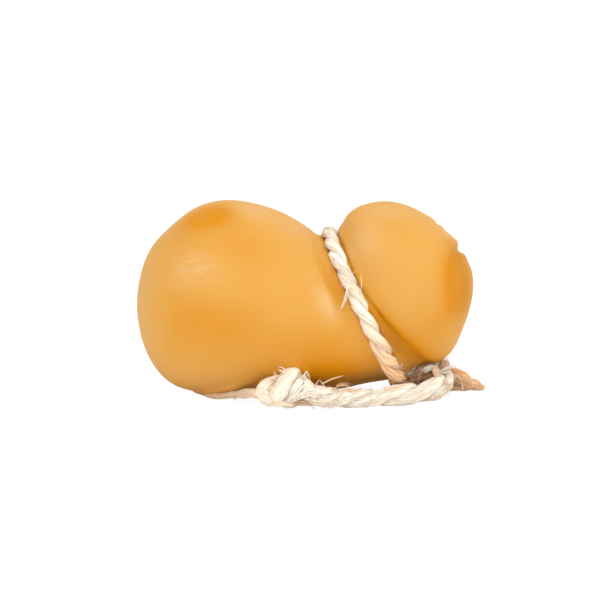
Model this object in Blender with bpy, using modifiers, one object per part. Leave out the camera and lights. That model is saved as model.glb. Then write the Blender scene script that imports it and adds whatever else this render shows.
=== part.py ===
"""A smoked scamorza lying on its side, tied round the waist with a two strand rope.

Metres, +Z up. The cheese lies along +X, from its round base to its small head, and -Y is the front.
Sizes below are in millimetres, and the finished shapes are scaled to metres at the end.
"""

import math

import bmesh
import bpy
import numpy as np

MM = 0.001
SMOOTH_ANGLE = math.radians(40)

# Colour and roughness of each surface.
FINISHES = {
    "smoked_rind": ((0.86, 0.43, 0.11), 0.42),
    "pale_rope": ((0.92, 0.83, 0.67), 0.85),
    "shaded_rope": ((0.74, 0.48, 0.30), 0.85),
    "browned_rope": ((0.68, 0.37, 0.20), 0.85),
}

# The middle of the box round the cheese, its tie and the short end, moved to the origin.
MIDDLE_X, MIDDLE_Y = 2.2, 0.0

# Rings of the cheese from the base to the tip of the head. Each ring has the position of its centre
# along and above the floor, how far its top leans back toward the base in degrees, its half height,
# its half depth, how far its front and back bulge toward the base, and the rows of faces up to the next.
RINGS = (
    (-62.3, 32.1, 0.0, 0.0, 0.0, 0.0, 2),
    (-60.2, 32.0, 1.2, 13.2, 13.0, 0.0, 2),
    (-55.9, 32.3, 1.6, 22.9, 22.6, 0.0, 3),
    (-48.8, 33.1, 0.8, 30.0, 29.8, 0.0, 3),
    (-39.4, 34.9, 1.2, 34.4, 34.0, 0.0, 3),
    (-27.8, 35.9, 2.6, 35.9, 36.0, 0.0, 3),
    (-15.2, 35.3, 4.9, 35.2, 36.0, 0.0, 3),
    (-3.7, 33.7, 7.1, 33.3, 34.6, 0.0, 3),
    (6.3, 31.8, 11.3, 30.7, 32.0, 0.0, 4),
    (14.2, 30.7, 17.5, 28.2, 29.2, 0.0, 6),
    (22.6, 31.7, 26.2, 28.6, 26.6, 0.0, 4),
    (26.5, 33.4, 31.3, 27.8, 25.6, 0.6, 4),
    (30.3, 35.0, 36.0, 28.4, 24.6, 3.6, 4),
    (31.9, 37.1, 36.3, 30.5, 27.8, 5.0, 3),
    (35.1, 41.2, 35.7, 31.3, 30.0, 4.2, 3),
    (39.4, 45.7, 35.9, 29.8, 30.2, 2.4, 3),
    (44.6, 49.9, 35.2, 26.3, 27.6, 1.0, 3),
    (49.3, 53.1, 35.7, 21.2, 23.0, 0.4, 3),
    (52.8, 54.8, 36.6, 15.4, 17.4, 0.0, 3),
    (55.3, 55.5, 37.8, 9.2, 11.0, 0.0, 2),
    (56.3, 55.7, 37.8, 0.0, 0.0, 0.0, 0),
)
ROUND_FACES = 72
# How far the cheese has settled onto the flat spot of its belly.
SETTLED = 0.4

# Soft hollows and swellings: name, centre, direction of the long axis, reach along, reach across, height.
RELIEF = (
    ("flat side of the base", (-50.0, 0.0, 60.0), (0.7, 0.0, 0.7), 14.0, 12.0, -0.9),
    ("hollow beside the tie", (10.5, -27.0, 49.0), (0.36, -0.15, -0.92), 8.5, 3.4, -2.2),
    ("fold below the hollow", (7.6, -29.5, 37.0), (0.45, 0.0, -0.89), 6.0, 4.2, 1.3),
    ("hollow in the head", (57.0, -9.0, 44.0), (0.1, 0.0, 1.0), 6.0, 3.6, -1.4),
    ("ridge in the head", (48.5, -22.0, 43.0), (0.2, 0.0, 1.0), 5.5, 3.6, 0.7),
    ("dent over the tip", (50.6, 0.0, 60.0), (0.0, 1.0, 0.0), 3.4, 1.7, -0.9),
    ("lump at the tip", (53.8, -1.0, 56.6), (0.0, 1.0, 0.0), 2.8, 1.8, 0.7),
    ("closing dent", (57.0, 0.0, 52.4), (0.0, 1.0, 0.0), 3.0, 1.7, -1.2),
    ("lump under the tip", (59.2, -1.0, 49.4), (0.0, 1.0, 0.0), 3.0, 2.0, 0.6),
)

# The rope has two strands, which make one turn in each pitch, and notches where the strands meet.
ROPE_WIDTH = 5.8
ROPE_PITCH = 19.0
STRAND_NOTCH = 0.17
SECTION_POINTS = 12
KNOT_SECTION_POINTS = 14
THIN_SECTION_POINTS = 8
# Free space between two pieces that meet, at the start of the long end, and between cheese and rope.
ROPE_GAP = 0.3
CORD_GAP = 0.8
CHEESE_GAP = 0.6

# The tie lies in a leaning plane round the waist: the middle of its loop, its lean in degrees, half sizes.
TIE_X, TIE_Z = 22.9, 31.1
TIE_LEAN = 26.2
TIE_HALF_HEIGHT, TIE_HALF_DEPTH = 31.0, 28.6
TIE_STEP = 2.3
TIE_KNOT_STEP = 1.3
# From this angle on, past the top, each side of the loop bends in to the knot.
TIE_LAST_ANGLE = 136.0

# Under the neck both sides of the tie turn once round each other, and leave as the long and the short end.
KNOTTED_WIDTH = 5.0
NEAR_SIDE = (
    (36.2, -8.4, 3.7),
    (39.8, -3.4, 3.0),
    (42.6, 0.2, 2.66),
    (45.2, 3.0, 5.0),
    (47.7, 0.4, 7.6),
    (50.4, -2.3, 6.7),
)
FAR_SIDE = (
    (36.2, 8.4, 4.0),
    (39.8, 3.7, 4.8),
    (42.6, -0.2, 7.3),
    (45.2, -3.0, 5.0),
    (47.9, -0.2, 2.6),
    (50.6, 2.6, 4.0),
)
# How far along X the knot begins and ends.
KNOT_START, KNOT_END = 39.6, 50.2

# Points that the centre of the long end is led through, from the tie's knot to the stopper knot.
LONG_END = (
    (52.0, -5.6, 5.8),
    (50.8, -10.0, 4.3),
    (46.4, -15.6, 3.3),
    (39.8, -20.6, 2.92),
    (31.6, -24.6, 2.92),
    (23.4, -26.6, 2.92),
    (15.6, -28.0, 2.92),
    (9.4, -29.4, 3.1),
    (5.2, -31.2, 3.7),
)
# The short end and the frayed end, with the width at each point.
SHORT_END = (
    (53.4, 2.6, 6.0, 6.4),
    (57.2, 1.8, 5.2, 7.6),
    (61.4, 0.8, 3.4, 5.6),
    (64.0, 0.3, 2.2, 3.8),
    (66.4, 0.0, 1.4, 2.0),
)
SHORT_STEP = 2.4
FRAYED_STEP = 2.0
FRAYED_END = (
    (-19.0, -30.4, 7.4, 3.2),
    (-21.2, -26.0, 4.9, 2.8),
    (-25.0, -20.4, 2.7, 2.4),
    (-30.0, -16.8, 1.8, 2.0),
    (-37.0, -15.6, 1.4, 1.5),
)

# The stopper knot: its middle, the distance that its passes keep, its width, stretch, roll and dip.
END_KNOT = (-8.0, -32.4, 7.1)
END_KNOT_SPACING = 4.5
END_KNOT_WIDTH = 5.2
END_KNOT_STRETCH = 1.5
END_KNOT_ROLL = 62.0
END_KNOT_DIP = -22.0
END_KNOT_STUB = 8.6
END_KNOT_TAIL_STUB = 7.2
FRAYED_START_WIDTH = 3.4
# How far each end runs straight on from the stopper knot.
STRAIGHT_START = 1.8
END_KNOT_GRAIN = 0.55
END_KNOT_FACES = 1500

# How the stopper knot is drawn tight: points of its line, pulls, stiffness, and how firmly passes part.
KNOT_POINTS = 110
KNOT_PULLS = 500
KNOT_STIFFNESS = 0.3
KNOT_PARTING = 0.75
KNOT_PARTINGS = 4
# Neighbours along the line count as another pass from this many widths on.
KNOT_APART = 1.45


def cubic(before, first, second, after, share):
    """A point on the smooth curve through four neighbours, between the middle two."""
    slope_first = (second - before) / 2
    slope_second = (after - first) / 2
    cube, square = share**3, share**2
    return (
        first * (2 * cube - 3 * square + 1)
        + slope_first * (cube - 2 * square + share)
        + second * (3 * square - 2 * cube)
        + slope_second * (cube - square)
    )


def spaced(route, step):
    """The same line with points at even steps of about the length asked for."""
    lengths = np.linalg.norm(np.diff(route[:, :3], axis=0), axis=1)
    along = np.concatenate([[0.0], np.cumsum(lengths)])
    wanted = np.linspace(0.0, along[-1], max(2, round(along[-1] / step) + 1))
    return np.stack([np.interp(wanted, along, column) for column in route.T], axis=1)


def smooth_route(points, step):
    """A smooth line through the points, with points at even steps."""
    points = np.array(points, float)
    last = len(points) - 1
    dense = []
    for index in range(last):
        four = [points[min(max(k, 0), last)] for k in range(index - 1, index + 3)]
        dense += [cubic(*four, share) for share in np.linspace(0, 1, 24, endpoint=False)]
    dense.append(points[last])
    return spaced(np.array(dense), step)


def ring_at(place):
    """Centre, upward half height, half depth and bulge of the ring at a place between 0 and the last ring."""
    last = len(RINGS) - 1
    index = min(int(place), last - 1)
    rows = []
    for step in (index - 1, index, index + 1, index + 2):
        mirrored = step < 0 or step > last
        inside = -step if step < 0 else 2 * last - step if step > last else step
        x, z, lean, half, depth, bulge, _ = RINGS[inside]
        lean = math.radians(lean)
        row = np.array([x, z, -math.sin(lean) * half, math.cos(lean) * half, depth, bulge])
        if mirrored:
            row[2:5] = -row[2:5]
        rows.append(row)
    return cubic(*rows, place - index)


def cheese_point(place, angle):
    """A point of the surface: angle 0 is the top, a quarter turn the front."""
    x, z, up_x, up_z, depth, bulge = ring_at(place)
    front = math.sin(angle)
    top = math.cos(angle)
    middle = np.array([x, 0.0, z])
    point = np.array([x + up_x * top - bulge * abs(front) ** 3, -depth * front, z + up_z * top])
    outward = point - middle
    size = np.linalg.norm(outward)
    if size > 1.0:
        outward /= size
        for _, centre, axis, along, across, height in RELIEF:
            offset = point - np.array(centre)
            axis = np.array(axis) / np.linalg.norm(axis)
            run = offset @ axis
            side = offset @ offset - run * run
            point = point + outward * height * math.exp(-run * run / along**2 - side / across**2)
    return point


def tie_sides():
    """The centre lines of both sides of the tie, from the top of the waist to the ends of its knot."""
    lean = math.radians(TIE_LEAN)
    up = np.array([-math.sin(lean), 0.0, math.cos(lean)])
    middle = np.array([TIE_X, 0.0, TIE_Z])
    sides = []
    for knotted, forward in ((NEAR_SIDE, -1.0), (FAR_SIDE, 1.0)):
        loop = []
        for degrees in np.arange(0.0, TIE_LAST_ANGLE + 1.0, 8.0):
            angle = math.radians(degrees)
            across = np.array([0.0, forward * TIE_HALF_DEPTH * math.sin(angle), 0.0])
            loop.append(middle + up * TIE_HALF_HEIGHT * math.cos(angle) + across)
        sides.append(smooth_route(loop + list(knotted), 0.5))
    return sides


def part_between(route, start, end):
    """The points of a side of the tie whose place along X, past its middle, is between two places."""
    low = len(route) // 2
    keep = [point for point in route[low:] if start <= point[0] <= end]
    return np.array(keep)


def tie_loop(near, far):
    """The centre line of the tie outside the knot: up the front, over the top and down the back."""
    halves = []
    for side in (near, far):
        low = len(side) // 2
        stop = low + int(np.argmax(side[low:, 0] > KNOT_START - ROPE_GAP))
        halves.append(side[:stop])
    return spaced(np.concatenate([halves[0][::-1], halves[1][1:]]), TIE_STEP)


def pressed(point, route, clear):
    """The point moved away from a rope that is pressed against it."""
    offset = point - route
    far = np.linalg.norm(offset, axis=1)
    nearest = int(far.argmin())
    if far[nearest] >= clear:
        return point
    return point + offset[nearest] / far[nearest] * (clear - far[nearest])


def mesh_object(name, shape):
    """A new object of the scamorza that holds the shape, scaled to metres about the part's origin."""
    bmesh.ops.translate(shape, verts=shape.verts, vec=(-MIDDLE_X, -MIDDLE_Y, 0.0))
    bmesh.ops.scale(shape, verts=shape.verts, vec=(MM, MM, MM))
    bmesh.ops.recalc_face_normals(shape, faces=shape.faces)
    mesh = bpy.data.meshes.new(name)
    shape.to_mesh(mesh)
    shape.free()
    made = bpy.data.objects.new(name, mesh)
    bpy.data.collections["smoked_scamorza"].objects.link(made)
    return made


def finish(item, surface):
    """Shades the piece smooth and gives it its surface."""
    item.data.materials.clear()
    item.data.materials.append(bpy.data.materials[surface])
    item.data.shade_smooth()
    item.data.set_sharp_from_angle(angle=SMOOTH_ANGLE)


def make_cheese(near, far):
    """The cheese as a sphere of which every point is moved onto its own ring."""
    rows = sum(ring[6] for ring in RINGS)
    places = []
    for index, ring in enumerate(RINGS):
        places += [index + step / max(ring[6], 1) for step in range(max(ring[6], 1))]
    clear = ROPE_WIDTH / 2 + CHEESE_GAP
    shape = bmesh.new()
    bmesh.ops.create_uvsphere(shape, u_segments=ROUND_FACES, v_segments=rows, radius=1.0)
    for vertex in shape.verts:
        x, y, z = vertex.co
        row = round(math.acos(max(-1.0, min(1.0, z))) * rows / math.pi)
        point = cheese_point(places[row], math.atan2(y, x))
        point[2] = max(point[2] - SETTLED, 0.0)
        for side in (near, far):
            point = pressed(point, side, clear)
        vertex.co = point
    return mesh_object("scamorza", shape)


def rope_mesh(route, widths, two_strands, section_points=SECTION_POINTS):
    """A closed rope along the route, as a mesh: a section swept by a curve with filled caps.

    The strands wind to the left, like the middle stroke of an S.
    """
    sizes = np.broadcast_to(np.asarray(widths, float), len(route)) / 2
    ring = bpy.data.curves.new("section", "CURVE")
    ring.dimensions = "2D"
    outline = ring.splines.new("POLY")
    outline.points.add(section_points - 1)
    for index, point in enumerate(outline.points):
        angle = 2 * math.pi * index / section_points
        reach = 1.0 - STRAND_NOTCH * math.sin(angle) ** 6 if two_strands else 1.0
        point.co = (reach * math.cos(angle), reach * math.sin(angle), 0.0, 1.0)
    outline.use_cyclic_u = True
    section = bpy.data.objects.new("section", ring)
    line = bpy.data.curves.new("rope", "CURVE")
    line.dimensions = "3D"
    line.twist_mode = "MINIMUM"
    line.bevel_mode = "OBJECT"
    line.bevel_object = section
    line.use_fill_caps = True
    spline = line.splines.new("POLY")
    spline.points.add(len(route) - 1)
    length = 0.0
    for index, point in enumerate(spline.points):
        if index:
            length += np.linalg.norm(route[index, :3] - route[index - 1, :3])
        point.co = (*route[index, :3], 1.0)
        point.radius = sizes[index]
        point.tilt = -2 * math.pi * length / ROPE_PITCH if two_strands else 0.0
    rope = bpy.data.objects.new("rope", line)
    bpy.context.scene.collection.objects.link(section)
    bpy.context.scene.collection.objects.link(rope)
    bpy.context.view_layer.update()
    mesh = bpy.data.meshes.new_from_object(rope.evaluated_get(bpy.context.evaluated_depsgraph_get()))
    shape = bmesh.new()
    shape.from_mesh(mesh)
    bmesh.ops.remove_doubles(shape, verts=shape.verts, dist=0.001)
    bmesh.ops.recalc_face_normals(shape, faces=shape.faces)
    bpy.data.objects.remove(rope)
    bpy.data.objects.remove(section)
    bpy.data.meshes.remove(mesh)
    return shape


def fill_hollows(mesh):
    """Keeps the outer skin, the one with the most points, and takes away the skin of any sealed hollow."""
    shape = bmesh.new()
    shape.from_mesh(mesh)
    left = set(shape.verts)
    skins = []
    while left:
        skin, edge = set(), {left.pop()}
        while edge:
            skin |= edge
            edge = {link.other_vert(vertex) for vertex in edge for link in vertex.link_edges} - skin
        left -= skin
        skins.append(skin)
    skins.sort(key=len)
    for skin in skins[:-1]:
        bmesh.ops.delete(shape, geom=list(skin), context="VERTS")
    shape.to_mesh(mesh)
    shape.free()


def join(first, other):
    """The two solids as one."""
    union = first.modifiers.new("join", "BOOLEAN")
    union.operation = "UNION"
    union.solver = "EXACT"
    union.object = other
    joined = bpy.data.meshes.new_from_object(first.evaluated_get(bpy.context.evaluated_depsgraph_get()))
    fill_hollows(joined)
    first.modifiers.clear()
    first.data = joined
    bpy.data.objects.remove(other)


def make_tie_knot(near, far):
    """Both sides of the tie, turned once round each other and joined to one solid."""
    halves = []
    for side in (near, far):
        route = spaced(part_between(side, KNOT_START, KNOT_END), TIE_KNOT_STEP)
        halves.append(mesh_object("tie_knot", rope_mesh(route, KNOTTED_WIDTH, False)))
    join(*halves)
    return halves[0]


def spaced_count(route, count):
    """The same line with this many points at even steps."""
    lengths = np.linalg.norm(np.diff(route, axis=0), axis=1)
    along = np.concatenate([[0.0], np.cumsum(lengths)])
    wanted = np.linspace(0.0, along[-1], count)
    return np.stack([np.interp(wanted, along, column) for column in route.T], axis=1)


def snug_knot(width):
    """The centre line of an overhand knot along X: a coil round its own ends, drawn tight.

    The numbers below are the loose knot's sizes in rope widths.
    """
    share = np.linspace(0.0, 1.0, KNOT_POINTS)
    angle = math.pi / 2 + 3 * math.pi * share
    coil = [(2.6 * share - 1.3) * width, 1.9 * width * np.sin(angle), 1.9 * width * np.cos(angle)]
    enter = [(5.6, 0, 0), (1.2, 0.5, 0), (-1.2, 0.5, 0), (-2.4, 0.8, 0), (-2.3, 1.5, 0)]
    leave = [(2.3, -1.5, 0), (2.4, -0.8, 0), (1.2, -0.5, 0), (-1.2, -0.5, 0), (-5.6, 0, 0)]
    loose = np.concatenate([np.array(enter) * width, np.stack(coil, axis=1), np.array(leave) * width])
    route = spaced_count(loose, KNOT_POINTS)
    index = np.arange(KNOT_POINTS)
    for pull in range(KNOT_PULLS):
        middle = (route[:-2] + route[2:]) / 2 - route[1:-1]
        bend = 4 * (route[1:-3] + route[3:-1]) - route[:-4] - route[4:] - 6 * route[2:-2]
        route[1:-1] += KNOT_STIFFNESS * middle
        route[2:-2] += KNOT_STIFFNESS * bend / 16
        for _ in range(KNOT_PARTINGS):
            step = np.linalg.norm(np.diff(route, axis=0), axis=1).mean()
            apart = route[:, None] - route[None]
            far = np.linalg.norm(apart, axis=2)
            skip = max(2, math.ceil(KNOT_APART * width / step))
            near = (np.abs(index[:, None] - index[None]) >= skip) & (far < width)
            push = np.where(near, (width - far) / np.maximum(far, 1e-9), 0.0)[:, :, None] * apart
            shift = push.sum(axis=1) / np.maximum(near.sum(axis=1), 1)[:, None]
            route[1:-1] += KNOT_PARTING * shift[1:-1]
        if pull % 4 == 3:
            route = spaced_count(route, KNOT_POINTS)
    return route


def end_knot_route():
    """The centre line of the stopper knot where it lies on the floor in front of the belly."""
    route = snug_knot(END_KNOT_SPACING) * np.array([END_KNOT_STRETCH, 1.0, -1.0])
    first = int(np.argmax(route[:, 0] < END_KNOT_STUB))
    last = len(route) - int(np.argmax(route[::-1, 0] > -END_KNOT_TAIL_STUB))
    route = route[first:last]
    roll, dip = math.radians(END_KNOT_ROLL), math.radians(END_KNOT_DIP)
    y = route[:, 1] * math.cos(roll) - route[:, 2] * math.sin(roll)
    z = route[:, 1] * math.sin(roll) + route[:, 2] * math.cos(roll)
    x = route[:, 0] * math.cos(dip) - z * math.sin(dip)
    z = route[:, 0] * math.sin(dip) + z * math.cos(dip)
    return np.stack([x, y, z], axis=1) + np.array(END_KNOT)


def beyond(before, last, gap=ROPE_GAP):
    """Two points straight on from the end of a line: one past the gap, and one a little further."""
    onward = (last - before) / np.linalg.norm(last - before)
    return [last + onward * gap, last + onward * STRAIGHT_START]


def make_end_knot(route):
    """The stopper knot, with its passes pressed together to one solid."""
    knot = mesh_object("end_knot", rope_mesh(route, END_KNOT_WIDTH, False, KNOT_SECTION_POINTS))
    skin = knot.modifiers.new("skin", "REMESH")
    skin.mode = "VOXEL"
    skin.voxel_size = END_KNOT_GRAIN * MM
    fewer = knot.modifiers.new("fewer", "DECIMATE")
    faces = 2 * len(knot.evaluated_get(bpy.context.evaluated_depsgraph_get()).data.polygons)
    fewer.ratio = min(1.0, END_KNOT_FACES / max(faces, 1))
    done = bpy.data.meshes.new_from_object(knot.evaluated_get(bpy.context.evaluated_depsgraph_get()))
    knot.modifiers.clear()
    knot.data = done
    return knot


def material(name, colour, roughness):
    """A plain surface with its colour and roughness."""
    made = bpy.data.materials.new(name)
    made.use_nodes = True
    shader = made.node_tree.nodes["Principled BSDF"]
    shader.inputs["Base Color"].default_value = (*colour, 1.0)
    shader.inputs["Roughness"].default_value = roughness
    shader.inputs["Metallic"].default_value = 0.0
    return made


def make_long_end(near, knot):
    """The long end, from the tie's knot over the floor to the stopper knot."""
    start = part_between(near, KNOT_END + ROPE_GAP, KNOT_END + 3.0)[:1]
    finish_line = beyond(knot[1], knot[0], CORD_GAP)[::-1]
    route = smooth_route([*start, *LONG_END, *finish_line], 2 * ROPE_WIDTH)
    return mesh_object("long_end", rope_mesh(route, ROPE_WIDTH, False))


def make_frayed_end(knot):
    """The thin frayed end, from the stopper knot back under the edge of the belly."""
    start = [(*point, FRAYED_START_WIDTH) for point in beyond(knot[-2], knot[-1])]
    route = smooth_route([*start, *FRAYED_END], FRAYED_STEP)
    return mesh_object("frayed_end", rope_mesh(route, route[:, 3], False, THIN_SECTION_POINTS))


def make_short_end():
    """The browned short end, splayed wide past the knot and then drawn to a point."""
    route = smooth_route(SHORT_END, SHORT_STEP)
    return mesh_object("short_end", rope_mesh(route, route[:, 3], False))


def main():
    """Clears the scene and builds the cheese with its rope."""
    for item in list(bpy.data.objects):
        bpy.data.objects.remove(item, do_unlink=True)
    collection = bpy.data.collections.new("smoked_scamorza")
    bpy.context.scene.collection.children.link(collection)
    for name, (colour, roughness) in FINISHES.items():
        material(name, colour, roughness)
    near, far = tie_sides()
    knot = end_knot_route()
    finish(make_cheese(near, far), "smoked_rind")
    finish(mesh_object("waist_tie", rope_mesh(tie_loop(near, far), ROPE_WIDTH, True)), "pale_rope")
    finish(make_tie_knot(near, far), "shaded_rope")
    finish(make_short_end(), "browned_rope")
    finish(make_long_end(near, knot), "pale_rope")
    finish(make_end_knot(knot), "pale_rope")
    finish(make_frayed_end(knot), "pale_rope")


if __name__ == "__main__":
    main()
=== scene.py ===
"""Dresses a smoked scamorza and its rope, and sets them in a plain bright studio.

Shapes are worked out in millimetres, with the cheese along +X, -Y to the front and +Z up, as in the
part's source. They are scaled to metres, about the part's own origin, when their meshes are filled.
"""

from __future__ import annotations

import logging
import math
from dataclasses import dataclass
from enum import Enum
from typing import ClassVar, Sequence

import bpy
import numpy as np
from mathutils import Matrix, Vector, kdtree, noise


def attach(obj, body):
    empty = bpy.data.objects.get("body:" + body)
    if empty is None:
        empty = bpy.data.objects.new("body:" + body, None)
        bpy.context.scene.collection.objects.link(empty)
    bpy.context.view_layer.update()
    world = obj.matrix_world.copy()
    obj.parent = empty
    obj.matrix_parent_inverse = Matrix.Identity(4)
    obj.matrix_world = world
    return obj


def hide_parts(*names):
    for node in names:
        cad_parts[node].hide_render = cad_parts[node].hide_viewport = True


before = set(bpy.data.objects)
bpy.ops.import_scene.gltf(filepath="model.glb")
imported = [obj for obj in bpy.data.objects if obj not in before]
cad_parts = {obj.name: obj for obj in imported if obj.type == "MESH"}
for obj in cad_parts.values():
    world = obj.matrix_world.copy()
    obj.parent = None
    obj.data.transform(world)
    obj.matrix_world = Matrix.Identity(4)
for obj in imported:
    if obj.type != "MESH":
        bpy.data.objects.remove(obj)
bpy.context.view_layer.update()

MM = 0.001
BODY = "root"
MIDDLE_X = 2.2
SHORTEST = 1e-9
LOG = logging.getLogger("scamorza")

Item = bpy.types.Object
Socket = bpy.types.NodeSocket
Sockets = bpy.types.bpy_prop_collection
Points = np.ndarray
Span = tuple[float, float]
Spot = tuple[float, float, float]
Fade = tuple[float, float, float]
Colour = tuple[float, float, float]
Rows = tuple[tuple[float, ...], ...]


def eased(value: Points | float, start: float, end: float) -> Points:
    """How far a value has come from start to end, eased at both ends.

    Args:
        value: One value or many.
        start: Where the result is 0.
        end: Where the result is 1.

    Returns:
        Numbers from 0 to 1.
    """
    share = np.clip((np.asarray(value, float) - start) / (end - start), 0.0, 1.0)
    return share * share * (3.0 - 2.0 * share)


def faded(value: Points | float, share: Points | float, start: float, end: float) -> Points:
    """A share that is whole up to the start and gone from the end on."""
    return share * (1.0 - eased(value, start, end))


def bell(value: Points, middle: float, width: float) -> Points:
    """Numbers that are 1 at the middle and fall off evenly on both sides."""
    return np.exp(-(((value - middle) / width) ** 2))


def waved(along: Points, waves: Sequence[Sequence[float]]) -> Points:
    """Numbers about 1 that rise and fall along a line.

    Args:
        along: Places along the line.
        waves: For each wave its size, its rate in radians for each millimetre, and where it starts.

    Returns:
        One number for each place.
    """
    total = 1.0
    for size, rate, start in waves:
        total = total + size * np.sin(along * rate + start)
    return total


def unit(vectors: Points) -> Points:
    """The same directions with a length of one."""
    return vectors / np.maximum(np.linalg.norm(vectors, axis=-1, keepdims=True), SHORTEST)


def lengths_along(line: Points) -> Points:
    """How far each point of a line is from its start, measured along the line."""
    steps = np.linalg.norm(np.diff(line[:, :3], axis=0), axis=1)
    return np.concatenate([[0.0], np.cumsum(steps)])


def spaced(line: Points, step: float) -> Points:
    """The same line with points at even steps.

    Args:
        line: One row for each point, with further columns after x, y and z if need be.
        step: About how far apart the new points are.

    Returns:
        The new rows, with every column carried over.
    """
    along = lengths_along(line)
    wanted = np.linspace(0.0, along[-1], max(2, round(along[-1] / step) + 1))
    return np.stack([np.interp(wanted, along, column) for column in line.T], axis=1)


def smooth_line(control: Points, step: float) -> Points:
    """A smooth line through points that may lie at uneven distances.

    Args:
        control: The rows that the line is led through.
        step: About how far apart the new points are.

    Returns:
        The points of the line, at even steps.
    """
    gaps = np.diff(lengths_along(control))
    slopes = np.diff(control, axis=0) / gaps[:, None]
    weights = (gaps[1:] / (gaps[:-1] + gaps[1:]))[:, None]
    middle = slopes[:-1] * weights + slopes[1:] * (1.0 - weights)
    tangents = np.concatenate([slopes[:1], middle, slopes[-1:]])
    rows = []
    for index, gap in enumerate(gaps):
        # The curve is worked out four times as finely as it is kept, so that its length stays true.
        share = np.linspace(0.0, 1.0, max(3, math.ceil(4 * gap / step)), endpoint=False)[:, None]
        cube, square = share**3, share**2
        rows.append(
            control[index] * (2 * cube - 3 * square + 1)
            + tangents[index] * gap * (cube - 2 * square + share)
            + control[index + 1] * (3 * square - 2 * cube)
            + tangents[index + 1] * gap * (cube - square)
        )
    return spaced(np.concatenate([*rows, control[-1:]]), step)


def search_tree(rows: Points) -> kdtree.KDTree:
    """A tree that finds which of many points is the nearest.

    Args:
        rows: One row for each point, with x, y and z first.

    Returns:
        The tree, which gives a point's row number.
    """
    tree = kdtree.KDTree(len(rows))
    for index, row in enumerate(rows):
        tree.insert(row[:3], index)
    tree.balance()
    return tree


def in_metres(points: Points) -> Points:
    """Places in millimetres along the cheese as places in metres about the part's origin."""
    return (np.asarray(points, float) - np.array([MIDDLE_X, 0.0, 0.0])) * MM


def dress(piece: Item, material: bpy.types.Material) -> None:
    """Gives a piece its material and its place on the part, and reports it.

    Args:
        piece: The piece.
        material: Its material.
    """
    piece.data.materials.clear()
    piece.data.materials.append(material)
    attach(piece, BODY)
    LOG.info("%s: %d faces", piece.name, len(piece.data.polygons))


class Stretch(Enum):
    """The stretches of the rope, in order from its browned end to its frayed one."""

    SHORT_END = "short end"
    FAR_TURN = "far side of the tie's knot"
    WAIST = "loop round the waist"
    NEAR_TURN = "near side of the tie's knot"
    LONG_END = "long end"
    STOPPER = "stopper knot"
    FRAYED_END = "frayed end"


class MeshTools:
    """Small jobs that every piece needs, done with Blender's operators."""

    merge_gap = 1e-5

    @staticmethod
    def deselect() -> None:
        """Leaves object mode with nothing selected."""
        if bpy.context.mode != "OBJECT":
            bpy.ops.object.mode_set(mode="OBJECT")
        bpy.ops.object.select_all(action="DESELECT")

    @staticmethod
    def choose(item: Item) -> None:
        """Makes one object the selected and active one.

        Args:
            item: The object.
        """
        MeshTools.deselect()
        item.select_set(True)
        bpy.context.view_layer.objects.active = item

    @staticmethod
    def read(item: Item, kept: str = "co") -> Points:
        """What an object keeps at its vertices.

        Args:
            item: The object.
            kept: co for their places, or normal for their outward directions.

        Returns:
            One row of x, y and z for each vertex.
        """
        rows = np.empty(len(item.data.vertices) * 3, np.float32)
        item.data.vertices.foreach_get(kept, rows)
        return rows.reshape(-1, 3).astype(float)

    @staticmethod
    def move_to(item: Item, rows: Points) -> None:
        """Moves every vertex of an object to a new place."""
        item.data.vertices.foreach_set("co", np.ascontiguousarray(rows, np.float32).ravel())
        item.data.update()

    @staticmethod
    def apply_modifiers(item: Item) -> None:
        """Applies all modifiers of an object.

        Args:
            item: The object.
        """
        MeshTools.choose(item)
        for modifier in list(item.modifiers):
            bpy.ops.object.modifier_apply(modifier=modifier.name)

    @staticmethod
    def store(item: Item, name: str, values: Points) -> None:
        """Keeps one number for each vertex under a name that a material reads."""
        layer = item.data.attributes.new(name, "FLOAT", "POINT")
        layer.data.foreach_set("value", np.ascontiguousarray(values, np.float32))

    @staticmethod
    def sleeve(name: str, rings: int, sides: int) -> Item:
        """A closed round sleeve of radius one round the Z axis, from height 0 to 1.

        Args:
            name: The object's name.
            rings: How many rows of faces it has along its height.
            sides: How many faces go round it.

        Returns:
            The new object, with a UV map that runs round it and along it.
        """
        MeshTools.deselect()
        bpy.ops.mesh.primitive_grid_add(x_subdivisions=sides, y_subdivisions=rings, size=1.0)
        item = bpy.context.object
        item.name = name
        item.data.name = name
        flat = MeshTools.read(item)
        angle = 2.0 * math.pi * (flat[:, 0] + 0.5)
        rolled = np.stack([np.cos(angle), np.sin(angle), flat[:, 1] + 0.5], axis=1)
        MeshTools.move_to(item, rolled)
        bpy.ops.object.mode_set(mode="EDIT")
        bpy.ops.mesh.select_all(action="SELECT")
        bpy.ops.mesh.remove_doubles(threshold=MeshTools.merge_gap)
        bpy.ops.mesh.fill_holes(sides=0)
        bpy.ops.mesh.select_all(action="SELECT")
        bpy.ops.mesh.normals_make_consistent(inside=False)
        bpy.ops.object.mode_set(mode="OBJECT")
        bpy.ops.object.shade_smooth()
        return item

    @staticmethod
    def joined(items: Sequence[Item], name: str) -> Item:
        """Several objects as one mesh under a new name.

        Args:
            items: The objects, which are used up.
            name: The new name.

        Returns:
            The whole.
        """
        MeshTools.choose(items[0])
        for item in items[1:]:
            item.select_set(True)
        if len(items) > 1:
            bpy.ops.object.join()
        whole = bpy.context.object
        whole.name = name
        whole.data.name = name
        return whole


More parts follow.
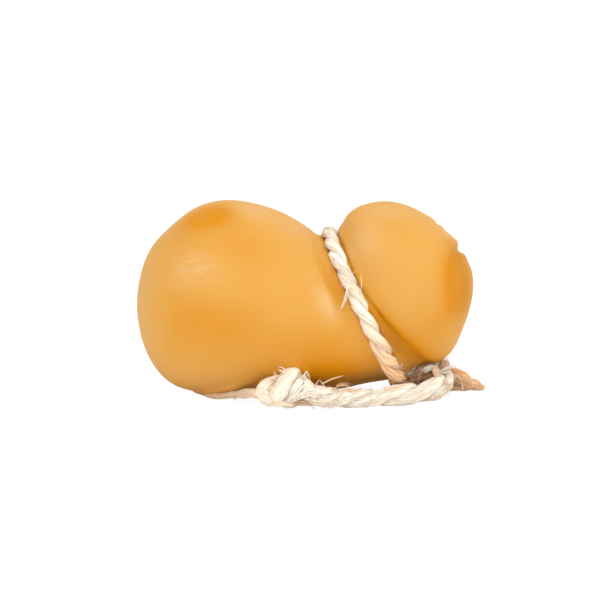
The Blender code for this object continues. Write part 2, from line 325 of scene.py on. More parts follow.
class Shader:
    """Builds the node tree of one material, of one shared group or of the world."""

    def __init__(self, tree: bpy.types.NodeTree) -> None:
        """Takes the tree that the nodes go in."""
        self.tree = tree

    def feed(self, socket: Socket, value: object) -> None:
        """Joins an output to an input, or sets the input to a plain value.

        Args:
            socket: The input.
            value: An output, a number, a vector, or a colour without its alpha.
        """
        if isinstance(value, Socket):
            self.tree.links.new(value, socket)
        elif socket.type == "RGBA":
            socket.default_value = (*value, 1.0)
        else:
            socket.default_value = value

    def add(
        self, kind: str, values: dict[str | int, object] | None = None, **settings: object
    ) -> bpy.types.Node:
        """Adds a node.

        Args:
            kind: The node's type, such as ShaderNodeMix.
            values: What its inputs are fed with, by their names or numbers.
            settings: Values for the node's own properties.

        Returns:
            The new node.
        """
        node = self.tree.nodes.new(kind)
        for key, value in settings.items():
            setattr(node, key, value)
        for key, value in (values or {}).items():
            self.feed(node.inputs[key], value)
        return node

    def maths(self, operation: str, *values: object) -> Socket:
        """A sum, product or the like of values, each a number or an output."""
        return self.add("ShaderNodeMath", dict(enumerate(values)), operation=operation).outputs[0]

    def centred(self, value: Socket, size: float) -> Socket:
        """A value from 0 to 1 as one of the given size about 0."""
        return self.maths("MULTIPLY_ADD", value, size, -size / 2)

    def scaled(self, place: Socket, scale: Spot) -> Socket:
        """Coordinates scaled along each axis."""
        return self.add("ShaderNodeVectorMath", {0: place, 1: scale}, operation="MULTIPLY").outputs["Vector"]

    def ramp(self, value: Socket, stops: Sequence[tuple[float, Colour]]) -> Socket:
        """Colours chosen by a value.

        Args:
            value: The output that picks the colour.
            stops: Places from 0 to 1 with their colours, in order.

        Returns:
            The colour output.
        """
        node = self.add("ShaderNodeValToRGB", {"Fac": value})
        line = node.color_ramp.elements
        while len(line) < len(stops):
            line.new(0.5)
        for element, (place, colour) in zip(line, stops):
            element.position = place
            element.color = (*colour, 1.0)
        return node.outputs["Color"]

    def mixed(self, share: object, first: object, other: object, blend: str = "MIX") -> Socket:
        """One colour laid over another.

        Args:
            share: How much of the second colour shows, a number or an output.
            first: The lower colour or its output.
            other: The upper colour or its output.
            blend: How they are laid together.

        Returns:
            The colour output.
        """
        values = {0: share, 6: first, 7: other}
        return self.add("ShaderNodeMix", values, data_type="RGBA", blend_type=blend).outputs[2]

    def seen_apart(self, usual: bpy.types.Node, seen: bpy.types.Node, end: bpy.types.Node) -> None:
        """Shows one shader to the camera and the usual one to all other rays.

        Args:
            usual: The usual shader.
            seen: The shader that the camera sees.
            end: The last node of the tree.
        """
        rays = self.add("ShaderNodeLightPath").outputs["Is Camera Ray"]
        pick = self.add("ShaderNodeMixShader", {0: rays, 1: usual.outputs[0], 2: seen.outputs[0]})
        self.feed(end.inputs["Surface"], pick.outputs[0])


class SharedEffect:
    """An effect that several materials use: one node group with named inputs and outputs."""

    name: str
    wanted: tuple[str, ...]
    given: tuple[str, ...]

    def group(self) -> bpy.types.NodeTree:
        """The node group, built when it is first asked for.

        Returns:
            The group's tree.
        """
        known = bpy.data.node_groups.get(self.name)
        if known:
            return known
        tree = bpy.data.node_groups.new(self.name, "ShaderNodeTree")
        for way, names in (("INPUT", self.wanted), ("OUTPUT", self.given)):
            for name in names:
                tree.interface.new_socket(name, in_out=way, socket_type="NodeSocketFloat")
        shader = Shader(tree)
        inside = shader.add("NodeGroupInput")
        shader.add("NodeGroupOutput", self.results(shader, inside.outputs))
        return tree

    def results(self, shader: Shader, inputs: Sockets) -> dict[str, Socket]:
        """What the group puts out, by the names of its outputs."""
        raise NotImplementedError


@dataclass(frozen=True)
class FibreStreaks(SharedEffect):
    """Fine streaks along a rope's fibres: a mask that tells fibre from line, and a height."""

    name: str = "fibre_streaks"
    wanted: tuple[str, ...] = ("Fineness",)
    given: tuple[str, ...] = ("Streaks", "Height")
    along: float = 9.0
    across: float = 30.0
    detail: float = 4.0
    contrast: Span = (0.33, 0.54)

    def results(self, shader: Shader, inputs: Sockets) -> dict[str, Socket]:
        """The streaks.

        Args:
            shader: The group's nodes.
            inputs: The values given to the group.

        Returns:
            The outputs by their names.
        """
        place = shader.scaled(shader.add("ShaderNodeUVMap").outputs["UV"], (self.across, self.along, 1.0))
        values = {"Vector": place, "Scale": inputs["Fineness"], "Detail": self.detail}
        fine = shader.add("ShaderNodeTexNoise", values, noise_dimensions="2D").outputs["Fac"]
        low, high = self.contrast
        values = {"Value": fine, "From Min": low, "From Max": high}
        mask = shader.add("ShaderNodeMapRange", values, interpolation_type="SMOOTHSTEP")
        return {"Streaks": mask.outputs["Result"], "Height": fine}


@dataclass(frozen=True)
class SoftMottle(SharedEffect):
    """Soft uneven clouds and a finer grain, for the rind and for the browned rope."""

    name: str = "soft_mottle"
    wanted: tuple[str, ...] = ("Size", "Grain")
    given: tuple[str, ...] = ("Cloud", "Height")
    cloud_detail: float = 2.0
    cloud_distortion: float = 0.6
    grain_detail: float = 4.0

    def results(self, shader: Shader, inputs: Sockets) -> dict[str, Socket]:
        """The clouds and the grain.

        Args:
            shader: The group's nodes.
            inputs: The values given to the group.

        Returns:
            The outputs by their names.
        """
        place = shader.add("ShaderNodeTexCoord").outputs["Object"]
        values = {"Vector": place, "Scale": inputs["Size"], "Detail": self.cloud_detail}
        cloud = shader.add("ShaderNodeTexNoise", {**values, "Distortion": self.cloud_distortion})
        values = {"Vector": place, "Scale": inputs["Grain"], "Detail": self.grain_detail}
        grain = shader.add("ShaderNodeTexNoise", values)
        return {"Cloud": cloud.outputs["Fac"], "Height": grain.outputs["Fac"]}


class SurfaceShader(Shader):
    """The nodes of one new material, with the steps that the rind and the rope share."""

    def __init__(self, name: str) -> None:
        """Makes the material and takes its surface.

        Args:
            name: The material's name.
        """
        self.material = bpy.data.materials.new(name)
        self.material.use_nodes = True
        super().__init__(self.material.node_tree)
        self.surface = self.tree.nodes["Principled BSDF"]

    def finish(self, values: dict[str, object]) -> bpy.types.Material:
        """Feeds the surface's inputs.

        Args:
            values: Outputs and plain values, by the inputs' names.

        Returns:
            The finished material.
        """
        for name, value in values.items():
            self.feed(self.surface.inputs[name], value)
        return self.material

    def kept(self, name: str) -> Socket:
        """The number that a piece keeps under a name at each of its points."""
        return self.add("ShaderNodeAttribute", attribute_name=name).outputs["Fac"]

    def mottle(self, size: float, grain: float) -> bpy.types.Node:
        """The shared soft mottle at the given sizes."""
        return self.add("ShaderNodeGroup", {"Size": size, "Grain": grain}, node_tree=SoftMottle().group())

    def between(self, value: Socket, ends: Span) -> Socket:
        """A value from 0 to 1 led over to another range."""
        values = {"Value": value, "To Min": ends[0], "To Max": ends[1]}
        return self.add("ShaderNodeMapRange", values).outputs["Result"]

    def raised(self, height: Socket, strength: float, distance: float) -> Socket:
        """The surface's direction, raised by a height of a full depth in metres."""
        values = {"Height": height, "Strength": strength, "Distance": distance}
        return self.add("ShaderNodeBump", values).outputs["Normal"]


@dataclass(frozen=True)
class RindFinish:
    """The waxy smoked rind: pale where it is thin, deep orange where smoking and wax gathered, with painted
    highlights and painted shade in the same tones, and brown where shade is painted.
    """

    name: str = "smoked_rind"
    pale: Colour = (0.66, 0.385, 0.150)
    usual: Colour = (0.63, 0.318, 0.062)
    deep: Colour = (0.60, 0.228, 0.0)
    # The colour of the painted shade, mixed in where the cheese keeps its shade.
    brown: Colour = (0.38, 0.15, 0.01)
    roughness: Span = (0.43, 0.59)
    gloss: float = 0.14
    cloud_size: float = 34.0
    cloud_strength: float = 0.34
    grain_size: float = 420.0
    grain_strength: float = 0.16
    grain_depth: float = 0.0004
    wrinkle_size: Spot = (160.0, 400.0, 760.0)
    wrinkle_height: float = 12.0
    wrinkle_highlight: float = 1.1
    glow: float = 0.35
    glow_colour: Colour = (1.0, 0.55, 0.2)
    glow_depth: float = 0.004

    def material(self) -> bpy.types.Material:
        """The rind's material, which reads the smoky tone with its painted light and the painted shade kept
        at each point of the cheese.

        Returns:
            The material.
        """
        shader = SurfaceShader(self.name)
        mottle = shader.mottle(self.cloud_size, self.grain_size)
        uneven = shader.centred(mottle.outputs["Cloud"], self.cloud_strength)
        folded = self.wrinkles(shader)
        # Painted highlight: the wrinkles are drawn paler, as if they caught the light.
        wrinkle_glint = shader.maths("MULTIPLY", folded, -self.wrinkle_highlight)
        depth = shader.maths("ADD", shader.maths("ADD", shader.kept("smoke_and_light"), uneven), wrinkle_glint)
        colour = shader.ramp(depth, ((0.0, self.pale), (0.5, self.usual), (1.0, self.deep)))
        raised = shader.maths("MULTIPLY", folded, self.wrinkle_height)
        height = shader.maths("ADD", mottle.outputs["Height"], raised)
        values = {
            "Base Color": shader.mixed(shader.kept("shade"), colour, self.brown),
            "Roughness": shader.between(mottle.outputs["Height"], self.roughness),
            "Normal": shader.raised(height, self.grain_strength, self.grain_depth),
            "Subsurface Weight": self.glow,
            "Subsurface Radius": self.glow_colour,
            "Subsurface Scale": self.glow_depth,
            "Specular IOR Level": self.gloss,
        }
        return shader.finish(values)

    def wrinkles(self, shader: Shader) -> Socket:
        """Fine wrinkles across the rind, where the cheese keeps that it is wrinkled.

        Args:
            shader: The material's nodes.

        Returns:
            A height that is 0 where the rind is smooth.
        """
        place = shader.scaled(shader.add("ShaderNodeTexCoord").outputs["Object"], self.wrinkle_size)
        lines = shader.add("ShaderNodeTexNoise", {"Vector": place, "Scale": 1.0})
        centred = shader.maths("SUBTRACT", lines.outputs["Fac"], 0.5)
        return shader.maths("MULTIPLY", centred, shader.kept("wrinkled"))


@dataclass(frozen=True)
class RopeFinish:
    """Plant fibre: cream with darker lines between the fibres and painted shade in the gaps, brown where
    smoking and grease reached it, and brown as painted shade under the head and on the floor.
    """

    name: str = "plant_fibre"
    fibre: Colour = (0.98, 0.945, 0.855)
    line: Colour = (0.81, 0.695, 0.45)
    # These browns serve both real browning and painted shade under the head and on the floor.
    stain_and_shade_brown: Colour = (0.95, 0.53, 0.25)
    stain_and_shade_line: Colour = (0.64, 0.33, 0.10)
    # These two set the colour and the strength of the painted shade in the gaps between the fibre bundles.
    gap: Colour = (0.63, 0.45, 0.21)
    gap_shade_strength: float = 0.8
    fineness: float = 1.0
    fibre_strength: float = 0.5
    fibre_depth: float = 0.0002
    cloud_size: float = 160.0
    cloud_strength: float = 0.4
    grain_size: float = 900.0
    roughness: Span = (0.84, 0.62)
    sheen: float = 0.15
    sheen_roughness: float = 0.5
    glow: float = 0.12
    glow_colour: Colour = (1.0, 0.8, 0.6)
    glow_depth: float = 0.0008

    def material(self) -> bpy.types.Material:
        """The rope's material, which reads the browning with its painted shade and the painted shade of the
        gaps, kept at each point of the rope.

        Returns:
            The material.
        """
        shader = SurfaceShader(self.name)
        streaks = shader.add("ShaderNodeGroup", {"Fineness": self.fineness}, node_tree=FibreStreaks().group())
        mask = streaks.outputs["Streaks"]
        mottle = shader.mottle(self.cloud_size, self.grain_size)
        stain_and_shade = shader.kept("stain_and_shade")
        uneven = shader.centred(mottle.outputs["Cloud"], self.cloud_strength)
        share = shader.maths("ADD", stain_and_shade, shader.maths("MULTIPLY", uneven, stain_and_shade))
        clean = shader.mixed(mask, self.line, self.fibre)
        stain_and_shade_mix = shader.mixed(mask, self.stain_and_shade_line, self.stain_and_shade_brown)
        colour = shader.mixed(share, clean, stain_and_shade_mix)
        # Painted shade: the colour is darkened by the gap colour where the relief sinks between the fibres.
        darker = shader.mixed(1.0, colour, self.gap, "MULTIPLY")
        depth = shader.maths("MULTIPLY", shader.kept("hollow"), self.gap_shade_strength)
        values = {
            "Base Color": shader.mixed(depth, colour, darker),
            "Roughness": shader.between(mask, self.roughness),
            "Normal": shader.raised(streaks.outputs["Height"], self.fibre_strength, self.fibre_depth),
            "Sheen Weight": self.sheen,
            "Sheen Roughness": self.sheen_roughness,
            "Subsurface Weight": self.glow,
            "Subsurface Radius": self.glow_colour,
            "Subsurface Scale": self.glow_depth,
        }
        return shader.finish(values)


@dataclass
class RopeRoute:
    """Where the middle of the rope runs, from its browned short end to its frayed end."""

    width: float = 5.8
    waist_width: float = 4.9
    knotted_width: float = 5.0
    tie_x: float = 22.5
    tie_z: float = 31.1
    tie_lean: float = 26.2
    tie_half_height: float = 30.8
    tie_half_depth: float = 28.3
    tie_last_angle: float = 136.0
    tie_angle_step: float = 8.0
    low_swelling: float = 0.95
    swelling_angles: Span = (75.0, 125.0)
    near_side: Rows = (
        (36.2, -8.4, 3.7), (39.8, -3.4, 3.0), (42.6, 0.2, 2.66),
        (45.2, 3.0, 5.0), (47.7, 0.4, 7.6), (50.4, -2.3, 6.7),
    )
    far_side: Rows = (
        (36.2, 8.4, 4.0), (39.8, 3.7, 4.8), (42.6, -0.2, 7.3),
        (45.2, -3.0, 5.0), (47.9, -0.2, 2.6), (50.6, 2.6, 4.0),
    )
    long_end: Rows = (
        (51.8, -5.6, 6.6, 5.8), (50.8, -10.0, 5.3, 6.6), (46.4, -15.4, 4.1, 7.4),
        (39.8, -20.0, 3.7, 7.4), (31.6, -23.6, 3.3, 6.7), (23.4, -25.6, 3.1, 6.2),
        (15.6, -27.0, 3.3, 6.5), (9.4, -28.6, 4.0, 6.9), (5.2, -30.2, 4.9, 7.0),
    )
    short_end: Rows = (
        (53.4, 2.0, 4.5, 8.0), (56.6, 1.3, 3.6, 7.3), (60.4, 0.7, 2.6, 5.4),
        (63.4, 0.3, 1.8, 3.4), (65.2, 0.0, 1.0, 1.8), (66.7, 0.0, 0.5, 0.5),
    )
    stopper: Rows = (
        (2.2, -30.8, 5.6, 6.8), (0.4, -30.9, 7.2, 7.2), (-1.3, -30.5, 8.5, 7.4),
        (-3.2, -29.8, 8.8, 7.0), (-5.2, -28.8, 8.6, 6.2), (-7.0, -29.0, 9.2, 5.8),
        (-9.2, -30.2, 9.7, 5.9), (-11.8, -31.4, 9.0, 6.1), (-13.9, -32.6, 7.8, 6.3),
        (-14.7, -33.4, 6.3, 6.5), (-13.6, -34.2, 5.2, 6.3), (-11.0, -33.8, 5.2, 5.6),
        (-8.3, -33.0, 4.8, 5.4), (-5.8, -31.6, 3.8, 5.4), (-4.2, -28.8, 3.7, 5.2),
        (-3.4, -26.4, 4.8, 5.2), (-3.2, -25.0, 7.4, 5.2), (-2.6, -25.8, 10.0, 5.8),
        (-3.6, -28.4, 11.4, 6.8), (-5.7, -31.5, 11.0, 7.5), (-8.0, -33.9, 9.2, 7.6),
        (-9.9, -34.8, 7.3, 7.2), (-11.3, -33.4, 6.2, 6.2), (-12.9, -31.0, 5.7, 5.0),
        (-15.2, -29.2, 5.3, 4.4), (-18.0, -28.0, 5.4, 4.1),
    )
    frayed_end: Rows = (
        (-21.0, -25.6, 4.7, 3.9), (-25.4, -20.0, 3.1, 3.5), (-30.2, -16.8, 2.0, 3.0),
        (-34.0, -14.0, 1.5, 2.4), (-38.2, -9.6, 1.1, 1.5),
    )
    step: float = 0.25

    def tie_half(self, forward: float) -> list[tuple[float, ...]]:
        """Points of the loop from the top of the waist to where it bends in to the knot.

        Args:
            forward: -1 for the front half, 1 for the back half.

        Returns:
            Points with the rope's width, from the top down.
        """
        lean = math.radians(self.tie_lean)
        rows = []
        for degrees in np.arange(0.0, self.tie_last_angle + self.tie_angle_step / 2, self.tie_angle_step):
            angle = math.radians(degrees)
            rise = self.tie_half_height * math.cos(angle)
            across = forward * self.tie_half_depth * math.sin(angle)
            x = self.tie_x - math.sin(lean) * rise
            z = self.tie_z + math.cos(lean) * rise
            width = self.waist_width + self.low_swelling * float(eased(degrees, *self.swelling_angles))
            rows.append((x, across, z, width))
        return rows

    def whole(self) -> tuple[Points, dict[Stretch, Span]]:
        """The rope's whole middle line.

        Returns:
            Points with the rope's width, and where each stretch starts and ends along them.
        """
        far = [(*point, self.knotted_width) for point in self.far_side]
        near = [(*point, self.knotted_width) for point in self.near_side]
        back = self.tie_half(1.0) + far + list(self.short_end)
        front = self.tie_half(-1.0) + near + list(self.long_end)
        control = back[::-1] + front[1:] + list(self.stopper + self.frayed_end)
        line = smooth_line(np.array(control, float), self.step)
        along = lengths_along(line)
        borders = [self.far_side[-1], self.far_side[1], self.near_side[1], self.near_side[-1]]
        borders += [self.stopper[0], self.stopper[-1]]
        cuts = [0.0]
        for border in borders:
            gaps = np.linalg.norm(line[:, :3] - np.array(border[:3]), axis=1)
            cuts.append(float(along[gaps.argmin()]))
        cuts.append(float(along[-1]))
        return line, {stretch: (cuts[k], cuts[k + 1]) for k, stretch in enumerate(Stretch)}


@dataclass
class RopeLay:
    """Two strands laid round the rope's middle line, with their fibres, at any place along it.

    Widths and depths of a strand are shares of the rope's radius. Waves and drifts are given as a size and
    a rate in radians for each millimetre, and some with where they start.
    """

    route: RopeRoute
    tight_pitch: float = 19.0
    loose_pitch: float = 34.0
    knot_pitch: float = 40.0
    pitch_waves: Rows = ((0.16, 0.37, 0.0), (0.10, 0.83, 1.0))
    first_turn: float = 0.6
    long_twist: float = 0.94
    knot_twist: float = -0.96
    knot_twist_from: float = 35.0
    knot_reach: Span = (-4.0, 2.0)
    knot_relief: float = 0.5
    strand_pitch: float = 34.0
    offset: float = 0.44
    outer_depth: float = 0.58
    inner_depth: float = 0.50
    half_breadth: float = 0.76
    squareness: float = 0.82
    fullness_waves: Rows = ((0.06, 0.83, 2.1), (0.06, 0.31, 1.0))
    lone_reach: Span = (-6.0, 1.0)
    lone_thinning: float = 0.75
    open_until: float = 2.0
    open_gap: float = 0.25
    floor_gap: float = 0.06
    floor_squash: float = 0.1
    bundles: tuple[tuple[int, float], ...] = ((5, 0.20), (9, 0.17), (17, 0.11), (31, 0.05))
    layer_start: float = 1.7
    strand_start: float = 2.9
    slow_drift: Span = (1.1, 0.21)
    quick_drift: Span = (0.7, 0.47)
    ridge_power: float = 0.6
    ridge_middle: float = 0.7
    ridge_strength: Span = (0.65, 0.35)
    ridge_rate: Span = (0.33, 0.1)

    def __post_init__(self) -> None:
        """Works out the directions that the strands turn about, and how far they have turned."""
        self.line, self.stretches = self.route.whole()
        self.along = lengths_along(self.line)
        tangents = unit(np.gradient(self.line[:, :3], axis=0))
        side = unit(np.cross(tangents[0], np.array([0.0, 1.0, 0.0])))
        sides = []
        for tangent in tangents:
            side = unit(side - tangent * (side @ tangent))
            sides.append(side)
        self.side = np.array(sides)
        self.cross = np.cross(tangents, self.side)
        self.turn = self.turned()

    def turned(self) -> Points:
        """How far the strands have turned at each point of the line: tight first, then looser.

        Returns:
            Angles in radians.
        """
        loosened = eased(self.along, *self.stretches[Stretch.NEAR_TURN])
        pitch = self.tight_pitch + (self.loose_pitch - self.tight_pitch) * loosened
        pitch = pitch + (self.knot_pitch - self.loose_pitch) * self.knotted(self.along)
        turns = np.cumsum(np.gradient(self.along) * waved(self.along, self.pitch_waves) / pitch)
        start, end = self.stretches[Stretch.LONG_END]
        into_knot = eased(self.along, start + self.knot_twist_from, end)
        twist = self.long_twist * loosened + self.knot_twist * into_knot
        return self.first_turn - 2 * math.pi * turns + twist

    def entered(self, along: Points, stretch: Stretch, before: float, past: float) -> Points:
        """How far each place has come into a stretch.

        Args:
            along: How far along the rope each place is.
            stretch: The stretch.
            before: Where that begins, counted from the stretch's start.
            past: Where it is complete, counted from there too.

        Returns:
            Numbers from 0 to 1.
        """
        start, _ = self.stretches[stretch]
        return eased(along, start + before, start + past)

    def left(self, along: Points, stretch: Stretch, before: float, past: float) -> Points:
        """How far each place has come out of a stretch, counted in the same way from its end."""
        _, end = self.stretches[stretch]
        return eased(along, end + before, end + past)

    def knotted(self, along: Points) -> Points:
        """How far each place is into the stopper knot or past it, from 0 to 1."""
        return self.entered(along, Stretch.STOPPER, *self.knot_reach)

    def read(self, rows: Points, along: Points) -> Points:
        """Values kept for the points of the line, at other places along it."""
        return np.stack([np.interp(along, self.along, column) for column in rows.T], axis=-1)

    def skin(self, strand: int, along: Points, around: Points, lift: Points | float) -> Points:
        """Points on the skin of a strand.

        Args:
            strand: 0 or 1.
            along: How far along the rope each point is.
            around: Its angle round the strand, 0 on the outside of the rope.
            lift: How far it stands off the strand's smooth skin.

        Returns:
            The places of the points.
        """
        along, around = np.broadcast_arrays(np.asarray(along, float), np.asarray(around, float))
        middle = self.read(self.line[:, :3], along)
        radius = np.interp(along, self.along, self.line[:, 3]) / 2
        turn = np.interp(along, self.along, self.turn) + math.pi * strand
        side, cross = self.read(self.side, along), self.read(self.cross, along)
        cosine, sine = np.cos(turn)[..., None], np.sin(turn)[..., None]
        outward = side * cosine + cross * sine
        sideways = cross * cosine - side * sine
        alone = self.entered(along, Stretch.FRAYED_END, *self.lone_reach)
        fullness = waved(along, [(size, rate, start * strand) for size, rate, start in self.fullness_waves])
        if strand:
            fullness = fullness * (1.0 - self.lone_thinning * alone)
        opened = 1.0 - eased(along, self.open_until, self.stretches[Stretch.SHORT_END][1])
        centre = self.offset * (1.0 - alone) * (1.0 + self.open_gap * opened)
        out, over = np.cos(around), np.sin(around)
        outer = np.sign(out) * np.abs(out) ** self.squareness
        wide = np.sign(over) * np.abs(over) ** self.squareness
        depth = np.where(out > 0, self.outer_depth, self.inner_depth)
        x = (centre + depth * outer * fullness) * radius
        y = self.half_breadth * wide * fullness * radius
        normal = unit(outward * (out / depth)[..., None] + sideways * (over / self.half_breadth)[..., None])
        lift = np.broadcast_to(np.asarray(lift, float), along.shape)
        places = middle + outward * x[..., None] + sideways * y[..., None] + normal * lift[..., None]
        low = self.floor_gap - places[..., 2]
        pressed = self.floor_gap + self.floor_squash * (1.0 - np.exp(-low))
        places[..., 2] = np.where(low > 0, pressed, places[..., 2])
        return places

    def relief(self, strand: int, along: Points, around: Points) -> Points:
        """How far the bundles of fibres stand off the strand's smooth skin.

        Args:
            strand: 0 or 1.
            along: How far along the rope each point is.
            around: Its angle round the strand.

        Returns:
            Heights, of which the valleys are below 0.
        """
        height = np.zeros(np.shape(along))
        turned = around - 2 * math.pi * along / self.strand_pitch
        (slow, slow_rate), (quick, quick_rate) = self.slow_drift, self.quick_drift
        (usual, uneven), (rate, more_rate) = self.ridge_strength, self.ridge_rate
        for layer, (count, size) in enumerate(self.bundles):
            start = self.layer_start * layer + self.strand_start * strand
            drift = slow * np.sin(along * slow_rate + start)
            drift = drift + quick * np.sin(along * quick_rate + 2 * start + 2 * turned)
            ridge = np.abs(np.cos(turned * count / 2 + drift + start)) ** self.ridge_power
            strength = usual + uneven * np.sin(along * (rate + more_rate * layer) + 3 * turned + start)
            height += size * strength * (ridge - self.ridge_middle)
        return height * (1.0 - (1.0 - self.knot_relief) * self.knotted(along))


@dataclass(frozen=True)
class FibreHabit:
    """How the fine fibres lie on a strand and lift off it: millimetres, radians, and shares of a length."""

    lengths: Span = (5.0, 20.0)
    overhang: float = 0.2
    slant: float = 0.5
    scatter: float = 1.1
    rise: Span = (0.03, 0.14)
    sunk: float = 0.02
    loose_from: Span = (0.45, 0.75)
    loose_lift: Span = (1.0, 9.0)
    loose_curve: float = 1.5
    loose_swing: float = 1.5
    lifts_at_start: float = 0.5
    lowest: float = 0.12
    widths: tuple[float, ...] = (0.14, 0.22, 0.32, 0.46)
    taper: float = 0.75
    dark_share: float = 0.05
    own_stain: float = 0.7
    shared_stain: Span = (0.6, 1.2)


@dataclass
class RopeMaker:
    """Makes the strands and the loose fibres of one stretch of rope.

    Each browning, which is partly painted shade, is how brown the rope gets, and the heights in millimetres,
    or the distances from a stretch's end or start, between which that comes or goes.
    """

    lay: RopeLay
    habit: FibreHabit = FibreHabit()
    ring_step: float = 0.45
    least_rings: int = 4
    sides: int = 56
    uv_length: float = 100.0
    fibre_rings: int = 10
    fibre_sides: int = 3
    copy_gap: float = 4.0
    steep: float = 0.9
    deepest_gap: float = 0.26
    top_light: float = 0.8
    top_heights: Span = (52.0, 60.0)
    knot_light: float = 0.7
    knot_from: Span = (30.0, 36.0)
    knot_behind: Span = (-13.0, -8.0)
    waist_margin: float = 1.0
    # The browning low on the waist, on the floor and in the tie's knot under the head is partly painted
    # shade.
    low_stain_and_shade: Fade = (0.95, 8.0, 41.0)
    upper_stain: Fade = (0.17, 44.0, 62.0)
    floor_stain_and_shade: Fade = (0.2, 0.2, 2.6)
    far_turn_stain_and_shade: Fade = (0.9, -2.0, 8.0)
    near_turn_stain_and_shade: Fade = (0.8, -4.0, 3.0)
    near_turn_fading: Span = (-8.0, 0.0)
    short_end_fading: Span = (-3.0, 6.0)
    knot_stain: float = 0.2
    tail_stains: Rows = ((0.48, -6.0, 2.0), (0.3, 3.0, 14.0))
    least_stain: float = 0.02

    def strand(self, stretch: Stretch, which: int) -> Item:
        """One strand of a stretch, closed at both ends.

        Args:
            stretch: The stretch of the rope.
            which: 0 or 1, the strand.

        Returns:
            The strand as an object.
        """
        start, end = self.lay.stretches[stretch]
        rings = max(self.least_rings, round((end - start) / self.ring_step))
        item = MeshTools.sleeve("strand", rings, self.sides)
        rolled = MeshTools.read(item)
        along = start + rolled[:, 2] * (end - start)
        around = np.arctan2(rolled[:, 1], rolled[:, 0])
        lift = self.lay.relief(which, along, around)
        MeshTools.move_to(item, in_metres(self.lay.skin(which, along, around, lift)))
        layer = item.data.uv_layers.active.data
        flat = np.empty(len(layer) * 2, np.float32)
        layer.foreach_get("uv", flat)
        flat = flat.reshape(-1, 2)
        length = start + flat[:, 1] * (end - start)
        flat[:, 0] = flat[:, 0] - length / self.lay.strand_pitch
        flat[:, 1] = length / self.uv_length
        layer.foreach_set("uv", flat.ravel())
        places = MeshTools.read(item)
        MeshTools.store(item, "stain_and_shade", self.stain_and_shade(along, places))
        MeshTools.store(item, "hollow", self.hollow(lift, places))
        return item

    def hollow(self, lift: Points, places: Points) -> Points:
        """How strong the painted shade in the gaps between the fibres is: weaker on top and in the tie's
        knot, which paints those parts lighter.

        Args:
            lift: How far each point stands off the strand's smooth skin.
            places: The points, in metres.

        Returns:
            Numbers from 0, as pale as the rest, to 1.
        """
        x, y, z = places.T / MM
        top = self.top_light * eased(z, *self.top_heights)
        knot = self.knot_light * eased(x, *self.knot_from) * eased(y, *self.knot_behind)
        return np.clip(-lift / self.deepest_gap, 0.0, 1.0) * (1.0 - np.maximum(top, knot))

    def stain_and_shade(self, along: Points, places: Points) -> Points:
        """How brown the rope is: clean on the waist and in front, browned under the head, partly as real
        browning and partly as painted shade, which also darkens it a little on the floor.

        Args:
            along: How far along the rope each point is.
            places: The points, in metres.

        Returns:
            Numbers from 0, clean, to 1, brown.
        """
        lay = self.lay
        height = places[:, 2] / MM
        start, end = lay.stretches[Stretch.WAIST]
        on_waist = (along > start - self.waist_margin) & (along < end + self.waist_margin)
        low = np.maximum(faded(height, *self.low_stain_and_shade), faded(height, *self.upper_stain))
        share, *fading = self.far_turn_stain_and_shade
        far = share * (1.0 - lay.left(along, Stretch.FAR_TURN, *fading))
        share, *fading = self.near_turn_stain_and_shade
        near = share * lay.entered(along, Stretch.NEAR_TURN, *fading)
        near = near * (1.0 - lay.left(along, Stretch.NEAR_TURN, *self.near_turn_fading))
        short = 1.0 - lay.left(along, Stretch.SHORT_END, *self.short_end_fading)
        floor = faded(height, *self.floor_stain_and_shade)
        knot = self.knot_stain * lay.knotted(along)
        tail = sum(share * lay.entered(along, Stretch.FRAYED_END, *ends) for share, *ends in self.tail_stains)
        brownest = np.maximum.reduce([on_waist * low, far, near, short, floor, knot, tail])
        return np.clip(brownest + self.least_stain, 0.0, 1.0)

    def rope(self, name: str, stretches: Sequence[Stretch]) -> Item:
        """Both strands of one or more stretches, as one piece."""
        strands = [self.strand(stretch, which) for stretch in stretches for which in (0, 1)]
        return MeshTools.joined(strands, name)

    def tufts(self, name: str, lines: Points, widths: Points, stains_and_shades: Points) -> Item:
        """Many thin fibres as one piece: one is modelled, and its copies are laid along their lines.

        Args:
            name: The piece's name.
            lines: For each fibre its points, one more than it has rings.
            widths: For each fibre its width at those points.
            stains_and_shades: For each fibre how brown it is, partly as painted shade.

        Returns:
            The new object.
        """
        item = MeshTools.sleeve(name, self.fibre_rings, self.fibre_sides)
        pattern = MeshTools.read(item)
        copies = item.modifiers.new("copies", "ARRAY")
        copies.use_relative_offset = False
        copies.use_constant_offset = True
        copies.constant_offset_displace = (self.copy_gap, 0.0, 0.0)
        copies.count = len(lines)
        MeshTools.apply_modifiers(item)
        ring = np.tile(np.round(pattern[:, 2] * self.fibre_rings).astype(int), len(lines))
        which = np.repeat(np.arange(len(lines)), len(pattern))
        tangents = unit(np.gradient(lines, axis=1))
        upright = np.abs(tangents[..., 2:]) > self.steep
        helper = np.where(upright, np.array([1.0, 0.0, 0.0]), np.array([0.0, 0.0, 1.0]))
        side = unit(np.cross(tangents, helper))
        cross = np.cross(tangents, side)
        across = np.tile(pattern[:, 0], len(lines))[:, None]
        up = np.tile(pattern[:, 1], len(lines))[:, None]
        radius = widths[which, ring][:, None] / 2
        places = lines[which, ring] + radius * (side[which, ring] * across + cross[which, ring] * up)
        MeshTools.move_to(item, in_metres(places))
        MeshTools.store(item, "stain_and_shade", stains_and_shades[which])
        return item

